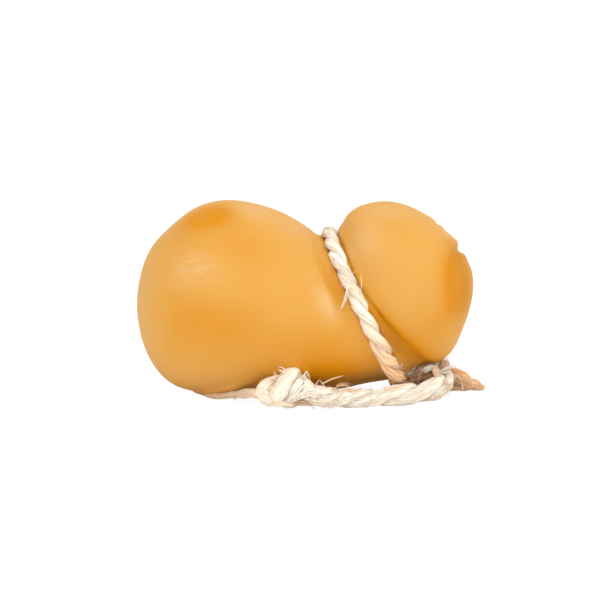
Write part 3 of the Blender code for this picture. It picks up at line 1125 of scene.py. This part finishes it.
    def laid_fibres(
        self, stretch: Stretch, count: int, draw: np.random.Generator, loose: float
    ) -> tuple[Points, Points, Points]:
        """Fibres that lie on the strands, of which some lift off at one end.

        Args:
            stretch: Where they lie.
            count: How many.
            draw: The random draw that sets where each one lies.
            loose: The share of them that lift off.

        Returns:
            Their lines, widths and browning, partly painted shade.
        """
        habit = self.habit
        share = np.linspace(0.0, 1.0, self.fibre_rings + 1)
        start, end = self.lay.stretches[stretch]
        lines, widths, stains_and_shades = [], [], []
        for _ in range(count):
            strand = int(draw.integers(0, 2))
            length = draw.uniform(*habit.lengths)
            first = draw.uniform(start - habit.overhang * length, end - (1.0 - habit.overhang) * length)
            along = first + share * length
            drift = draw.normal(0.0, habit.slant)
            around = draw.normal(0.0, habit.scatter)
            around = around + 2 * math.pi * (along - first) / self.lay.strand_pitch + drift * share
            lift = draw.uniform(*habit.rise) * np.sin(math.pi * share) ** 0.5 - habit.sunk
            if draw.random() < loose:
                off = np.maximum(share - draw.uniform(*habit.loose_from), 0.0)
                lift = lift + draw.uniform(*habit.loose_lift) * off**habit.loose_curve
                around = around + draw.normal(0.0, habit.loose_swing) * off
                if draw.random() < habit.lifts_at_start:
                    lift = lift[::-1]
            line = self.lay.skin(strand, along, around, lift + self.lay.relief(strand, along, around))
            line[:, 2] = np.maximum(line[:, 2], habit.lowest)
            lines.append(line)
            widths.append(draw.choice(habit.widths) * (1.0 - habit.taper * np.abs(2 * share - 1) ** 3))
            there = self.stain_and_shade(along[:1], in_metres(line[:1]))[0]
            dark = 1.0 if draw.random() < habit.dark_share else draw.uniform(0.0, habit.own_stain) ** 3
            stains_and_shades.append(there * draw.uniform(*habit.shared_stain) + dark)
        return np.array(lines), np.array(widths), np.array(stains_and_shades)


@dataclass(frozen=True)
class Wisp:
    """Loose fibres that run together along a line, or one thick fibre that stands off on its own.

    The spread is how far they lie apart at the start and at the end of the line.
    """

    step: ClassVar[float] = 0.1
    first_from: ClassVar[Span] = (0.0, 0.25)
    last_from: ClassVar[Span] = (0.7, 1.0)
    bend: ClassVar[float] = 0.4
    lowest: ClassVar[float] = 0.1
    thickness: ClassVar[Span] = (0.6, 1.1)
    taper: ClassVar[float] = 0.8
    stain_scatter: ClassVar[float] = 0.1

    points: Rows
    count: int = 1
    spread: Span = (0.0, 0.0)
    width: float = 0.32
    stain_and_shade: float = 0.35

    def fibres(self, rings: int, draw: np.random.Generator) -> tuple[Points, Points, Points]:
        """Its fibres' lines, widths and stains.

        Args:
            rings: How many rings each fibre has.
            draw: The random draw that sets how each one differs.

        Returns:
            One line, one row of widths and one browning, partly painted shade, for each fibre.
        """
        smooth = smooth_line(np.array(self.points, float), self.step)
        along = lengths_along(smooth)
        share = np.linspace(0.0, 1.0, rings + 1)
        lines, widths, stains_and_shades = [], [], []
        for index in range(self.count):
            first = draw.uniform(*self.first_from) if index else 0.0
            last = draw.uniform(*self.last_from) if index else 1.0
            wanted = along[-1] * (first + (last - first) * share)
            line = np.stack([np.interp(wanted, along, column) for column in smooth.T], axis=1)
            apart = self.spread[0] + (self.spread[1] - self.spread[0]) * share
            bend = draw.normal(0.0, self.bend, 3) * (share[:, None] - 0.5) ** 2
            line = line + (draw.normal(0.0, 1.0, 3) + bend) * apart[:, None]
            line[:, 2] = np.maximum(line[:, 2], self.lowest)
            lines.append(line)
            widths.append(self.width * draw.uniform(*self.thickness) * (1.0 - self.taper * share**3))
            stains_and_shades.append(np.clip(self.stain_and_shade + draw.normal(0.0, self.stain_scatter), 0.0, 1.0))
        return np.array(lines), np.array(widths), np.array(stains_and_shades)


@dataclass(frozen=True)
class Fuzz:
    """The loose fibres of one stretch: how many lie on it, how many lift off, and the larger wisps."""

    name: str
    stretch: Stretch
    slot: str
    count: int
    loose: float
    wisps: tuple[Wisp, ...] = ()


WAIST_WISPS = (
    Wisp(
        ((15.2, -29.6, 46.9), (14.6, -31.0, 42.8), (13.4, -31.4, 38.5), (11.7, -31.0, 34.9)),
        width=0.85, stain_and_shade=0.06,
    ),
    Wisp(((15.6, -29.4, 44.0), (14.4, -31.0, 40.4), (12.6, -31.2, 36.8)), 5, (0.2, 0.35), 0.4, 0.1),
    Wisp(((19.4, -28.4, 41.4), (20.0, -30.2, 45.5), (19.6, -31.0, 48.9)), width=0.5, stain_and_shade=0.1),
    Wisp(((15.4, -30.0, 47.6), (16.9, -31.2, 49.6), (18.0, -31.0, 50.5)), width=0.4, stain_and_shade=0.2),
    Wisp(((22.6, -22.0, 18.2), (20.6, -23.6, 18.9), (18.6, -23.8, 18.3)), width=0.4),
    Wisp(((31.4, -18.0, 11.0), (33.8, -19.0, 12.6), (34.8, -18.8, 15.0)), 9, (0.5, 0.6), 0.46, 0.35),
    Wisp(((32.0, -17.8, 9.4), (34.6, -19.0, 11.0), (36.4, -18.6, 11.8)), 9, (0.5, 0.7), 0.46, 0.4),
    Wisp(((27.0, -22.0, 19.0), (28.8, -23.4, 17.4), (29.6, -23.6, 15.6)), 4, (0.3, 0.8), 0.36),
)
# The fibres in the tie's knot lie in the shade of the head; their brown is partly painted shade.
KNOT_WISPS = (
    Wisp(((38.0, -8.0, 5.1), (39.0, -9.6, 9.1), (41.2, -8.6, 11.7)), 30, (0.9, 0.8), 0.44, 0.7),
    Wisp(((41.0, -8.0, 5.1), (42.3, -9.6, 8.4), (43.5, -7.6, 12.1)), 22, (0.8, 0.6), 0.44, 0.75),
    Wisp(((34.5, -11.0, 5.6), (36.3, -10.0, 8.4), (38.6, -9.0, 10.9)), 24, (0.8, 0.7), 0.42, 0.75),
    Wisp(((36.6, -8.0, 5.3), (41.0, -8.6, 6.0), (46.6, -8.0, 7.8)), 30, (0.9, 0.8), 0.42, 0.95),
    Wisp(((43.2, -12.6, 10.3), (45.0, -13.4, 11.5), (46.8, -13.6, 11.7)), 36, (0.45, 0.5), 0.6, 0.0),
    Wisp(((37.2, -11.0, 7.8), (38.2, -11.6, 9.0), (39.2, -11.4, 9.8)), 10, (0.3, 0.4), 0.5, 0.45),
    Wisp(((49.0, -13.4, 6.6), (47.9, -14.2, 9.4), (46.9, -13.8, 13.0)), 36, (0.5, 0.5), 0.5, 0.6),
    Wisp(((49.6, -6.8, 8.0), (51.0, -6.4, 10.4), (51.9, -5.6, 12.4)), 150, (1.1, 1.0), 0.55, 0.65),
    Wisp(((44.0, -5.0, 11.0), (47.0, -5.0, 12.6), (51.0, -4.6, 12.6)), 50, (0.7, 0.8), 0.5, 0.8),
    Wisp(((46.6, -10.0, 9.6), (50.3, -10.4, 9.6), (54.1, -8.6, 10.5)), 12, (0.4, 0.5), 0.46, 0.1),
    Wisp(((47.9, -12.0, 8.9), (52.1, -10.4, 10.5), (57.5, -7.0, 10.8)), 6, (0.2, 0.6), 0.42, 0.0),
)
SHORT_WISPS = (
    Wisp(((51.0, -3.0, 9.4), (54.0, -3.6, 8.6), (57.5, -4.0, 7.4)), 22, (0.6, 0.7), 0.44, 0.85),
    Wisp(((53.0, -6.0, 4.5), (56.6, -5.6, 7.1)), 3, (0.1, 0.2), 0.46, 0.35),
    Wisp(((56.5, -5.6, 7.1), (58.5, -5.2, 3.2)), 3, (0.1, 0.2), 0.44, 0.35),
    Wisp(((58.5, -5.0, 1.6), (58.1, -5.0, 3.5)), 2, (0.1, 0.2), 0.4, 0.35),
    Wisp(((58.0, -5.0, 3.3), (60.4, -4.2, 5.8)), 2, (0.1, 0.25), 0.42, 0.35),
    Wisp(((53.6, -6.0, 3.0), (56.2, -5.6, 5.9)), 2, (0.1, 0.3), 0.4, 0.35),
    Wisp(((52.6, -2.4, 1.3), (57.0, -2.6, 1.3), (62.0, -1.8, 1.0)), 44, (0.6, 0.4), 0.44, 0.95),
    Wisp(((60.0, -1.0, 2.4), (63.4, -0.4, 1.6), (66.4, 0.0, 0.6)), 50, (0.7, 0.2), 0.4, 0.9),
    Wisp(((53.0, -4.4, 6.8), (57.4, -4.2, 4.6), (62.0, -2.4, 2.4)), 46, (0.9, 0.5), 0.4, 1.0),
)
LONG_WISPS = (
    Wisp(((6.0, -33.0, 10.0), (9.6, -33.6, 11.9), (13.8, -33.0, 13.0)), width=0.6, stain_and_shade=0.45),
    Wisp(((3.2, -33.0, 8.9), (5.1, -34.0, 11.8)), width=0.5, stain_and_shade=0.45),
    Wisp(((7.3, -33.0, 8.6), (5.1, -34.0, 11.8)), width=0.5, stain_and_shade=0.45),
    Wisp(((9.6, -29.6, 7.2), (12.6, -30.6, 9.3), (17.2, -30.4, 8.6)), 5, (0.4, 0.6), 0.36, 0.9),
    Wisp(((2.5, -34.4, 1.1), (4.6, -35.2, 3.9), (8.5, -34.0, 5.1)), width=0.5, stain_and_shade=0.4),
    Wisp(((8.2, -33.4, 5.5), (8.7, -34.5, 3.7), (8.5, -34.0, 1.0)), width=0.46, stain_and_shade=0.35),
    Wisp(((49.8, -13.6, 7.0), (52.0, -14.4, 5.4), (53.9, -13.6, 3.3)), 16, (0.6, 0.8), 0.36, 0.35),
    Wisp(((49.0, -14.0, 4.6), (51.2, -14.8, 3.4), (53.2, -14.2, 2.0)), 10, (0.5, 0.8), 0.32, 0.25),
    Wisp(((14.0, -29.4, 5.6), (17.0, -30.0, 6.8), (20.6, -29.6, 6.6)), 4, (0.3, 0.8), 0.32, 0.3),
)
STOPPER_WISPS = (
    Wisp(((-7.0, -34.4, 14.0), (-8.6, -35.0, 15.6), (-10.2, -35.0, 15.5)), 4, (0.2, 0.5), 0.42, 0.15),
    Wisp(((-9.9, -35.0, 12.4), (-11.0, -35.6, 14.6)), 3, (0.3, 0.5), 0.4, 0.2),
    Wisp(((-0.7, -34.0, 12.2), (0.4, -35.0, 15.1), (1.9, -34.0, 11.6)), width=0.6, stain_and_shade=0.12),
    Wisp(((-3.0, -32.6, 9.0), (-0.6, -33.6, 12.6), (0.9, -34.0, 13.4)), 14, (0.5, 0.5), 0.5, 0.05),
    Wisp(
        ((-0.4, -32.2, 11.6), (-2.4, -34.0, 9.8), (-4.4, -35.0, 7.2), (-6.4, -35.0, 4.6)),
        90, (0.75, 0.65), 1.5, 0.0,
    ),
    Wisp(
        ((6.0, -32.0, 6.6), (1.2, -33.2, 7.4), (-3.2, -34.2, 5.6), (-7.2, -34.2, 3.4)),
        60, (0.75, 0.55), 1.2, 0.03,
    ),
    # A strand of loose fibres in the shade under the rope on the floor; its brown is painted shade.
    Wisp(
        ((-8.0, -32.4, 3.3), (-3.8, -31.8, 3.5), (1.1, -30.9, 3.1), (6.4, -29.8, 2.4)),
        140, (0.75, 0.5), 0.5, 0.6,
    ),
)


@dataclass(frozen=True)
class RopePiece:
    """One piece of the rope: its stretches, the solid that it stands for and its material slot."""

    name: str
    stretches: tuple[Stretch, ...]
    node: str
    slot: str


@dataclass
class RopeTie:
    """The whole rope: waist loop, tie knot, both ends and the stopper knot."""

    route: RopeRoute
    finish: RopeFinish
    seed: int = 7
    path_stride: int = 4
    carried: tuple[str, ...] = (
        "stopper_knot_rope",
        "frayed_end_rope",
        "long_end_fibres",
        "stopper_knot_fibres",
        "frayed_end_fibres",
    )
    pieces: tuple[RopePiece, ...] = (
        RopePiece("waist_rope", (Stretch.WAIST,), "waist_tie", "pale_rope"),
        RopePiece("tie_knot_rope", (Stretch.FAR_TURN, Stretch.NEAR_TURN), "tie_knot", "shaded_rope"),
        RopePiece("short_end_rope", (Stretch.SHORT_END,), "short_end", "browned_rope"),
        RopePiece("long_end_rope", (Stretch.LONG_END,), "long_end", "pale_rope"),
        RopePiece("stopper_knot_rope", (Stretch.STOPPER,), "end_knot", "pale_rope"),
        RopePiece("frayed_end_rope", (Stretch.FRAYED_END,), "frayed_end", "pale_rope"),
    )
    fuzz: tuple[Fuzz, ...] = (
        Fuzz("waist_fibres", Stretch.WAIST, "pale_rope", 900, 0.07, WAIST_WISPS),
        Fuzz("far_turn_fibres", Stretch.FAR_TURN, "shaded_rope", 120, 0.15),
        Fuzz("near_turn_fibres", Stretch.NEAR_TURN, "shaded_rope", 200, 0.2, KNOT_WISPS),
        Fuzz("short_end_fibres", Stretch.SHORT_END, "browned_rope", 420, 0.1, SHORT_WISPS),
        Fuzz("long_end_fibres", Stretch.LONG_END, "pale_rope", 620, 0.12, LONG_WISPS),
        Fuzz("stopper_knot_fibres", Stretch.STOPPER, "pale_rope", 460, 0.05, STOPPER_WISPS),
        Fuzz("frayed_end_fibres", Stretch.FRAYED_END, "pale_rope", 220, 0.12),
    )

    def build(self) -> list[Item]:
        """Returns:
            The pieces.
        """
        lay = RopeLay(self.route)
        maker = RopeMaker(lay)
        material = self.finish.material()
        made = {}
        for wanted in self.pieces:
            piece = maker.rope(wanted.name, wanted.stretches)
            dress(piece, material)
            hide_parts(wanted.node)
            made[wanted.name] = piece
        draw = np.random.default_rng(self.seed)
        for fuzz in self.fuzz:
            groups = [maker.laid_fibres(fuzz.stretch, fuzz.count, draw, fuzz.loose)]
            groups += [wisp.fibres(maker.fibre_rings, draw) for wisp in fuzz.wisps]
            piece = maker.tufts(fuzz.name, *(np.concatenate(part) for part in zip(*groups)))
            dress(piece, material)
            made[fuzz.name] = piece
        return list(made.values())


@dataclass(frozen=True)
class Swell:
    """A soft hollow or swelling of the cheese, or a patch of another tone: where, how far, how much."""

    name: str
    centre: Spot
    axis: Spot
    along: float
    across: float
    height: float
    ripple: float = 0.0

    def value(self, places: Points) -> Points:
        """How much it adds; with a ripple length it rises and falls along its axis.

        Args:
            places: Points of the cheese.

        Returns:
            One number for each point.
        """
        offset = places - np.array(self.centre)
        run = offset @ unit(np.array(self.axis))
        side = (offset * offset).sum(axis=1) - run * run
        reach = np.exp(-run * run / self.along**2 - side / self.across**2)
        if self.ripple:
            reach = reach * np.cos(2 * math.pi * run / self.ripple)
        return self.height * reach


@dataclass(frozen=True)
class Fold:
    """A fold that runs along a line on the rind, with a lip on one side of it and its own tones.

    The line's points are given with a strength from 0 to 1. A mirrored fold runs on round the back.
    """

    name: str
    points: Rows
    lip_side: Spot
    mirrored: bool
    depth: float
    width: float
    lip: float
    lip_away: float
    lip_width: float
    smoke_and_light: float
    smoke_width: float
    shade: float = 0.0
    shade_away: float = 0.0
    shade_width: float = 1.0
    step: float = 0.5

    def read(self, places: Points) -> tuple[Points, Points]:
        """Where each place lies from the fold.

        Args:
            places: Points of the cheese.

        Returns:
            How far each is from the fold, more than 0 on the lip's side, and the fold's strength there.
        """
        line = smooth_line(np.array(self.points, float), self.step)
        tree = search_tree(line)
        looked = places.copy()
        if self.mirrored:
            looked[:, 1] = -np.abs(looked[:, 1])
        nearest = np.array([tree.find(place)[1] for place in looked])
        offset = looked - line[nearest, :3]
        away = np.linalg.norm(offset, axis=1)
        return away * np.where(offset @ np.array(self.lip_side) > 0, 1.0, -1.0), line[nearest, 3]

    def effect(self, places: Points) -> tuple[Points, Points, Points]:
        """What the fold does to the rind.

        Args:
            places: Points of the cheese.

        Returns:
            How far it moves each point outward, and what it adds to the smoky tone and to the painted shade
            there.
        """
        away, strength = self.read(places)
        groove = self.depth * bell(away, 0.0, self.width)
        lip = self.lip * bell(away, self.lip_away, self.lip_width)
        smoke_and_light = self.smoke_and_light * strength * bell(away, 0.0, self.smoke_width)
        shade = self.shade * strength * bell(away, self.shade_away, self.shade_width)
        return strength * (lip - groove), smoke_and_light, shade


@dataclass
class Cheese:
    """The cheese, from the solid's own form, with finer relief and the tones of its rind, painted highlights
    and painted shade among them.
    """

    finish: RindFinish
    tie_lean: float
    node: str = "scamorza"
    merge_gap: float = 1e-6
    subdivisions: int = 2
    rope_stride: int = 2
    hug_gap: float = 0.85
    hug_reach: Span = (0.5, 3.4)
    hug_gap_head: float = 1.3
    hug_reach_head: Span = (1.0, 5.0)
    head_side: Span = (-1.0, 1.0)
    head_heights: Span = (26.0, 40.0)
    wave_height: float = 0.16
    wave_size: float = 17.0
    wrinkle_height: float = 0.03
    wrinkle_size: float = 2.6
    usual_smoke: float = 0.5
    folds: tuple[Fold, ...] = (
        Fold(
            name="crease under the head",
            points=(
                (12.6, 0.0, 58.0, 0.1), (14.8, -12.0, 54.1, 0.2), (18.3, -19.6, 48.0, 0.3),
                (21.8, -23.2, 41.7, 0.5), (25.0, -25.3, 35.2, 0.8), (31.2, -23.7, 28.0, 1.0),
                (37.9, -19.9, 21.0, 0.9), (43.3, -15.4, 16.7, 0.7), (46.2, -9.8, 13.7, 0.4),
                (47.4, 0.0, 12.6, 0.2),
            ),
            lip_side=(0.78, 0.0, 0.63), mirrored=True,
            depth=-1.0, width=1.9,
            lip=0.6, lip_away=2.6, lip_width=2.4,
            smoke_and_light=0.75, smoke_width=4.2,
            shade=0.42, shade_away=-3.0, shade_width=4.4,
        ),
        Fold(
            name="hollow beside the tie",
            points=(
                (5.1, -8.0, 56.8, 0.15), (7.2, -16.3, 52.6, 0.35), (8.9, -20.6, 48.9, 0.7),
                (11.1, -23.8, 44.0, 1.0), (13.2, -26.6, 39.1, 0.9), (15.3, -27.9, 35.0, 0.3),
            ),
            lip_side=(-0.9, 0.0, -0.35), mirrored=False,
            depth=0.25, width=2.9,
            lip=0.6, lip_away=5.8, lip_width=2.4,
            smoke_and_light=0.3, smoke_width=6.0,
        ),
        Fold(
            name="fold at the tip of the head",
            points=(
                (57.6, 6.0, 52.4, 0.3), (57.2, -2.0, 53.9, 0.7), (55.4, -10.4, 55.6, 1.0),
                (52.6, -16.6, 52.8, 0.9), (50.9, -20.6, 49.4, 0.6), (50.8, -22.8, 44.4, 0.4),
                (52.6, -22.4, 39.2, 0.25),
            ),
            lip_side=(0.9, 0.0, -0.3), mirrored=False,
            depth=0.85, width=1.7,
            lip=0.45, lip_away=3.4, lip_width=1.8,
            smoke_and_light=0.35, smoke_width=4.5,
            shade=0.3, shade_away=1.5, shade_width=5.0,
        ),
    )
    swells: tuple[Swell, ...] = (
        Swell("dimple on the head", (56.6, -18.5, 44.5), (0.1, 0.0, 1.0), 8.0, 4.6, -0.8),
        Swell("ridge before the dimple", (46.5, -27.5, 45.0), (-0.3, 0.0, 1.0), 9.0, 4.5, 0.3),
        Swell("flat above the dimple", (59.3, 0.0, 48.5), (0.0, 1.0, -0.18), 14.0, 4.5, -0.5),
        Swell("notch in the head", (57.6, 0.0, 53.3), (0.0, 1.0, -0.18), 16.0, 1.4, -1.2),
        Swell("pinched corner", (56.0, 0.0, 57.0), (0.0, 1.0, -0.18), 14.0, 2.0, 0.6),
        Swell("step above the corner", (48.6, 0.0, 62.9), (0.0, 1.0, -0.18), 12.0, 1.2, -0.5),
        Swell("edge of the step", (46.4, 0.0, 64.8), (0.0, 1.0, -0.18), 12.0, 1.6, 0.3),
        Swell("pinched skin", (51.0, 0.0, 61.0), (0.75, 0.0, -0.65), 5.0, 14.0, 0.2, 3.8),
        Swell("low corner of the head", (51.5, -5.0, 18.5), (0.0, 1.0, 0.0), 10.0, 7.0, 0.9),
        Swell("flat on top of the head", (40.0, -4.0, 67.0), (0.9, 0.0, -0.4), 13.0, 12.0, -0.75),
        Swell("shoulder of the head", (17.0, -4.0, 64.5), (0.5, 0.0, 0.8), 7.0, 10.0, 1.1),
    )
    wrinkles: Swell = Swell("fine wrinkles", (-39.5, -29.8, 51.2), (0.1, -0.3, 1.0), 4.5, 7.0, 1.0)
    # Tones of the rind. Painted highlights: the pale spot on the shoulder, the ridge beside the tie, and the
    # pale left and top of the head. Painted shade in part: the deep dimple and right edge of the head, on the
    # side away from the light, and the amber patch behind the knot.
    smoke_and_light: tuple[Swell, ...] = (
        Swell("orange patch on top", (-34.2, -13.1, 68.1), (1.0, 0.0, 0.1), 10.5, 8.5, 0.85),
        Swell("pale spot on the shoulder", (-39.5, -29.8, 51.2), (1.0, 0.0, 0.0), 9.0, 6.0, -0.35),
        Swell("pale top", (-19.9, -9.6, 69.1), (1.0, 0.0, -0.2), 9.0, 8.0, -0.35),
        Swell("pale slope to the tie", (-3.6, -10.4, 62.6), (1.0, 0.0, -0.5), 9.0, 8.0, -0.2),
        Swell("band above the middle", (-23.0, -27.1, 58.9), (1.0, 0.0, 0.0), 16.0, 8.0, 0.16),
        Swell("band low on the left", (-31.7, -35.4, 31.8), (1.0, 0.0, -0.1), 24.0, 10.0, 0.3),
        Swell("band along the belly", (0.0, -31.0, 24.0), (1.0, 0.0, 0.0), 18.0, 7.0, 0.2),
        Swell("left edge", (-57.5, -19.0, 37.7), (0.0, 0.0, 1.0), 12.0, 9.0, -0.15),
        Swell("ridge beside the tie", (7.8, -30.8, 38.2), (0.4, -0.1, -0.9), 7.0, 3.4, -0.6),
        Swell("dimple on the head", (55.7, -19.4, 43.5), (0.1, 0.0, 1.0), 10.0, 8.0, 0.9),
        Swell("right edge of the head", (62.5, -8.0, 42.0), (0.1, 0.0, 1.0), 12.0, 8.0, 0.7),
        Swell("pale left of the head", (21.4, -20.9, 59.8), (0.4, 0.0, -0.9), 10.0, 7.0, -0.35),
        Swell("pale top of the head", (28.9, -10.6, 69.2), (1.0, 0.0, 0.0), 9.0, 7.0, -0.25),
        Swell("low on the head", (44.7, -24.9, 27.9), (0.7, 0.0, 0.7), 12.0, 8.0, 0.2),
        Swell("amber patch behind the knot", (6.0, -24.0, 12.0), (1.0, 0.0, 0.0), 20.0, 9.0, 0.6),
        Swell("pale band on the back", (-19.0, 29.0, 53.0), (1.0, 0.0, 0.1), 18.0, 8.0, -0.3),
        Swell("band low on the back", (-22.0, 33.0, 25.0), (1.0, 0.0, 0.1), 24.0, 9.0, 0.35),
        Swell("patch at the end of the back", (-46.0, 22.0, 48.0), (0.3, 0.0, 1.0), 10.0, 8.0, 0.4),
        Swell("pale back of the head", (35.0, 24.0, 52.0), (0.5, 0.0, 0.8), 10.0, 8.0, -0.35),
        Swell("low on the back of the head", (47.0, 21.0, 27.0), (0.7, 0.0, 0.7), 11.0, 7.0, 0.35),
    )
    shade: tuple[Swell, ...] = (
        Swell("neck under the head", (34.2, -21.3, 19.8), (0.6, 0.2, -0.7), 12.0, 5.0, 0.25),
        Swell("under the waist", (20.0, -18.0, 6.0), (1.0, 0.0, 0.0), 10.0, 6.0, 0.2),
        Swell("side of the head", (59.5, -14.5, 41.5), (0.1, 0.0, 1.0), 12.0, 8.5, 0.4),
    )

    def build(self, rope: Points) -> Item:
        """Makes the cheese.

        Args:
            rope: Points with widths along the middle of the rope, which the cheese is pressed by.

        Returns:
            The finished piece.
        """
        item = self.refined_copy()
        places = MeshTools.read(item) / MM + np.array([MIDDLE_X, 0.0, 0.0])
        normals = MeshTools.read(item, "normal")
        effects = [fold.effect(places) for fold in self.folds]
        lift = self.hugging(places, rope) + self.unevenness(places)
        lift += sum(swell.value(places) for swell in self.swells)
        lift += sum(move for move, _, _ in effects)
        moved = places + normals * lift[:, None]
        moved[:, 2] = np.maximum(moved[:, 2], 0.0)
        MeshTools.move_to(item, in_metres(moved))
        smoke_and_light = self.usual_smoke + sum(tone.value(places) for tone in self.smoke_and_light)
        shade = sum(tone.value(places) for tone in self.shade)
        for _, more_smoke, more_shade in effects:
            smoke_and_light += more_smoke
            shade += more_shade
        MeshTools.store(item, "wrinkled", self.wrinkles.value(places))
        MeshTools.store(item, "smoke_and_light", np.clip(smoke_and_light, 0.0, 1.0))
        MeshTools.store(item, "shade", np.clip(shade, 0.0, 1.0))
        dress(item, self.finish.material())
        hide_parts(self.node)
        shaped = ", ".join(form.name for form in (*self.folds, *self.swells))
        LOG.info("%s: shaped with %s", item.name, shaped)
        return item

    def refined_copy(self) -> Item:
        """A merged copy of the solid, subdivided.

        Returns:
            The copy, with its modifier applied.
        """
        copy = bpy.data.objects.new("cheese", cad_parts[self.node].data.copy())
        bpy.context.scene.collection.objects.link(copy)
        MeshTools.choose(copy)
        bpy.ops.object.mode_set(mode="EDIT")
        bpy.ops.mesh.select_all(action="SELECT")
        bpy.ops.mesh.remove_doubles(threshold=self.merge_gap)
        bpy.ops.mesh.tris_convert_to_quads()
        bpy.ops.object.mode_set(mode="OBJECT")
        finer = copy.modifiers.new("finer", "SUBSURF")
        finer.levels = self.subdivisions
        finer.render_levels = self.subdivisions
        MeshTools.apply_modifiers(copy)
        bpy.ops.object.shade_smooth()
        return copy

    def hugging(self, places: Points, rope: Points) -> Points:
        """How far the cheese swells to meet the rope that is drawn tight round it.

        Args:
            places: Points of the cheese.
            rope: Points with widths along the middle of the rope.

        Returns:
            How far each point moves outward.
        """
        rope = rope[:: self.rope_stride]
        tree = search_tree(rope)
        nearest = [tree.find(place) for place in places]
        gaps = np.array([found[2] - rope[found[1], 3] / 2 for found in nearest])
        offsets = places - rope[[found[1] for found in nearest], :3]
        lean = math.radians(self.tie_lean)
        towards_head = offsets @ np.array([math.cos(lean), 0.0, math.sin(lean)])
        head = eased(towards_head, *self.head_side) * eased(places[:, 2], *self.head_heights)
        more = faded(gaps, self.hug_gap_head * head, *self.hug_reach_head)
        return faded(gaps, self.hug_gap, *self.hug_reach) + more

    def unevenness(self, places: Points) -> Points:
        """Broad soft waves and faint fine wrinkles of a form shaped by hand.

        Args:
            places: Points of the cheese.

        Returns:
            How far each point moves outward.
        """
        rows = []
        for place in places:
            broad = noise.noise(Vector(place / self.wave_size))
            fine = noise.noise(Vector(place / self.wrinkle_size))
            rows.append(self.wave_height * broad + self.wrinkle_height * fine)
        return np.array(rows)


@dataclass(frozen=True)
class SoftLight:
    """A square soft light: its place from the cheese and its side in metres, and its power in watts."""

    name: str
    place: Spot
    size: float
    power: float


@dataclass
class Studio:
    """A plain bright studio: pale floor, soft lights and the camera."""

    elevation: float = 10.5
    distance: float = 0.7
    target_height: float = 0.03236
    pixel: float = 0.00037
    picture: int = 610
    sensor: float = 36.0
    nearest_seen: float = 0.01
    floor_size: float = 40.0
    floor_colour: Colour = (0.93, 0.93, 0.93)
    floor_roughness: float = 0.9
    floor_gloss: float = 0.1
    floor_glow: float = 0.95
    floor_shadow: Colour = (0.12, 0.12, 0.12)
    white: Colour = (1.0, 1.0, 1.0)
    soft_strength: float = 1.0
    backdrop_strength: float = 1.05
    lights: tuple[SoftLight, ...] = (
        SoftLight("large front light", (-0.12, -1.0, 0.22), 1.1, 4.9),
        SoftLight("weak top light", (0.5, -0.3, 0.8), 0.8, 3.0),
    )

    def build(self) -> None:
        """Makes the camera, the floor and the lights."""
        self.camera()
        self.floor()
        self.backdrop()
        for light in self.lights:
            data = bpy.data.lights.new(light.name, "AREA")
            data.energy = light.power
            data.size = light.size
            self.aim(light.name, data, Vector(light.place))

    def aim(self, name: str, data: bpy.types.ID, place: Vector) -> Item:
        """Sets up a camera or a light that faces the cheese.

        Args:
            name: The object's name.
            data: The camera or light.
            place: Where it stands from the point that it faces, in metres.

        Returns:
            The new object.
        """
        target = Vector((-MIDDLE_X * MM, 0.0, self.target_height))
        item = bpy.data.objects.new(name, data)
        item.location = target + place
        item.rotation_euler = (target - item.location).to_track_quat("-Z", "Y").to_euler()
        bpy.context.scene.collection.objects.link(item)
        return item

    def camera(self) -> None:
        """The camera at the photo's viewing angle."""
        data = bpy.data.cameras.new("camera")
        data.sensor_width = self.sensor
        data.lens = self.sensor * self.distance / (self.picture * self.pixel)
        data.clip_start = self.nearest_seen
        rise = math.radians(self.elevation)
        place = self.distance * Vector((0.0, -math.cos(rise), math.sin(rise)))
        bpy.context.scene.camera = self.aim("camera", data, place)

    def floor(self) -> None:
        """A pale floor, bright enough to leave only a faint shadow."""
        MeshTools.deselect()
        bpy.ops.mesh.primitive_plane_add(size=self.floor_size)
        item = bpy.context.object
        item.name = "floor"
        shader = SurfaceShader("pale_floor")
        values = {
            "Base Color": self.floor_colour,
            "Roughness": self.floor_roughness,
            "Specular IOR Level": self.floor_gloss,
        }
        item.data.materials.append(shader.finish(values))
        glow = shader.add("ShaderNodeEmission", {"Strength": self.floor_glow})
        faint = shader.add("ShaderNodeBsdfDiffuse", {"Color": self.floor_shadow})
        both = shader.add("ShaderNodeAddShader", {0: glow.outputs[0], 1: faint.outputs[0]})
        shader.seen_apart(shader.surface, both, shader.tree.nodes["Material Output"])

    def backdrop(self) -> None:
        """Soft light from all sides before a white backdrop, in plain colours."""
        scene = bpy.context.scene
        scene.world = bpy.data.worlds.new("studio")
        scene.world.use_nodes = True
        scene.view_settings.view_transform = "Standard"
        shader = Shader(scene.world.node_tree)
        soft = shader.tree.nodes["Background"]
        shader.feed(soft.inputs["Color"], self.white)
        shader.feed(soft.inputs["Strength"], self.soft_strength)
        seen = shader.add("ShaderNodeBackground", {"Color": self.white, "Strength": self.backdrop_strength})
        shader.seen_apart(soft, seen, shader.tree.nodes["World Output"])


def main() -> None:
    """Builds the studio, the rope and the cheese in order."""
    logging.basicConfig(level=logging.INFO, format="%(name)s: %(message)s")
    Studio().build()
    route = RopeRoute()
    pieces = RopeTie(route, RopeFinish()).build()
    rope, _ = route.whole()
    pieces.append(Cheese(RindFinish(), route.tie_lean).build(rope))
    LOG.info("%d pieces: %s", len(pieces), ", ".join(piece.name for piece in pieces))


if __name__ == "__main__":
    main()
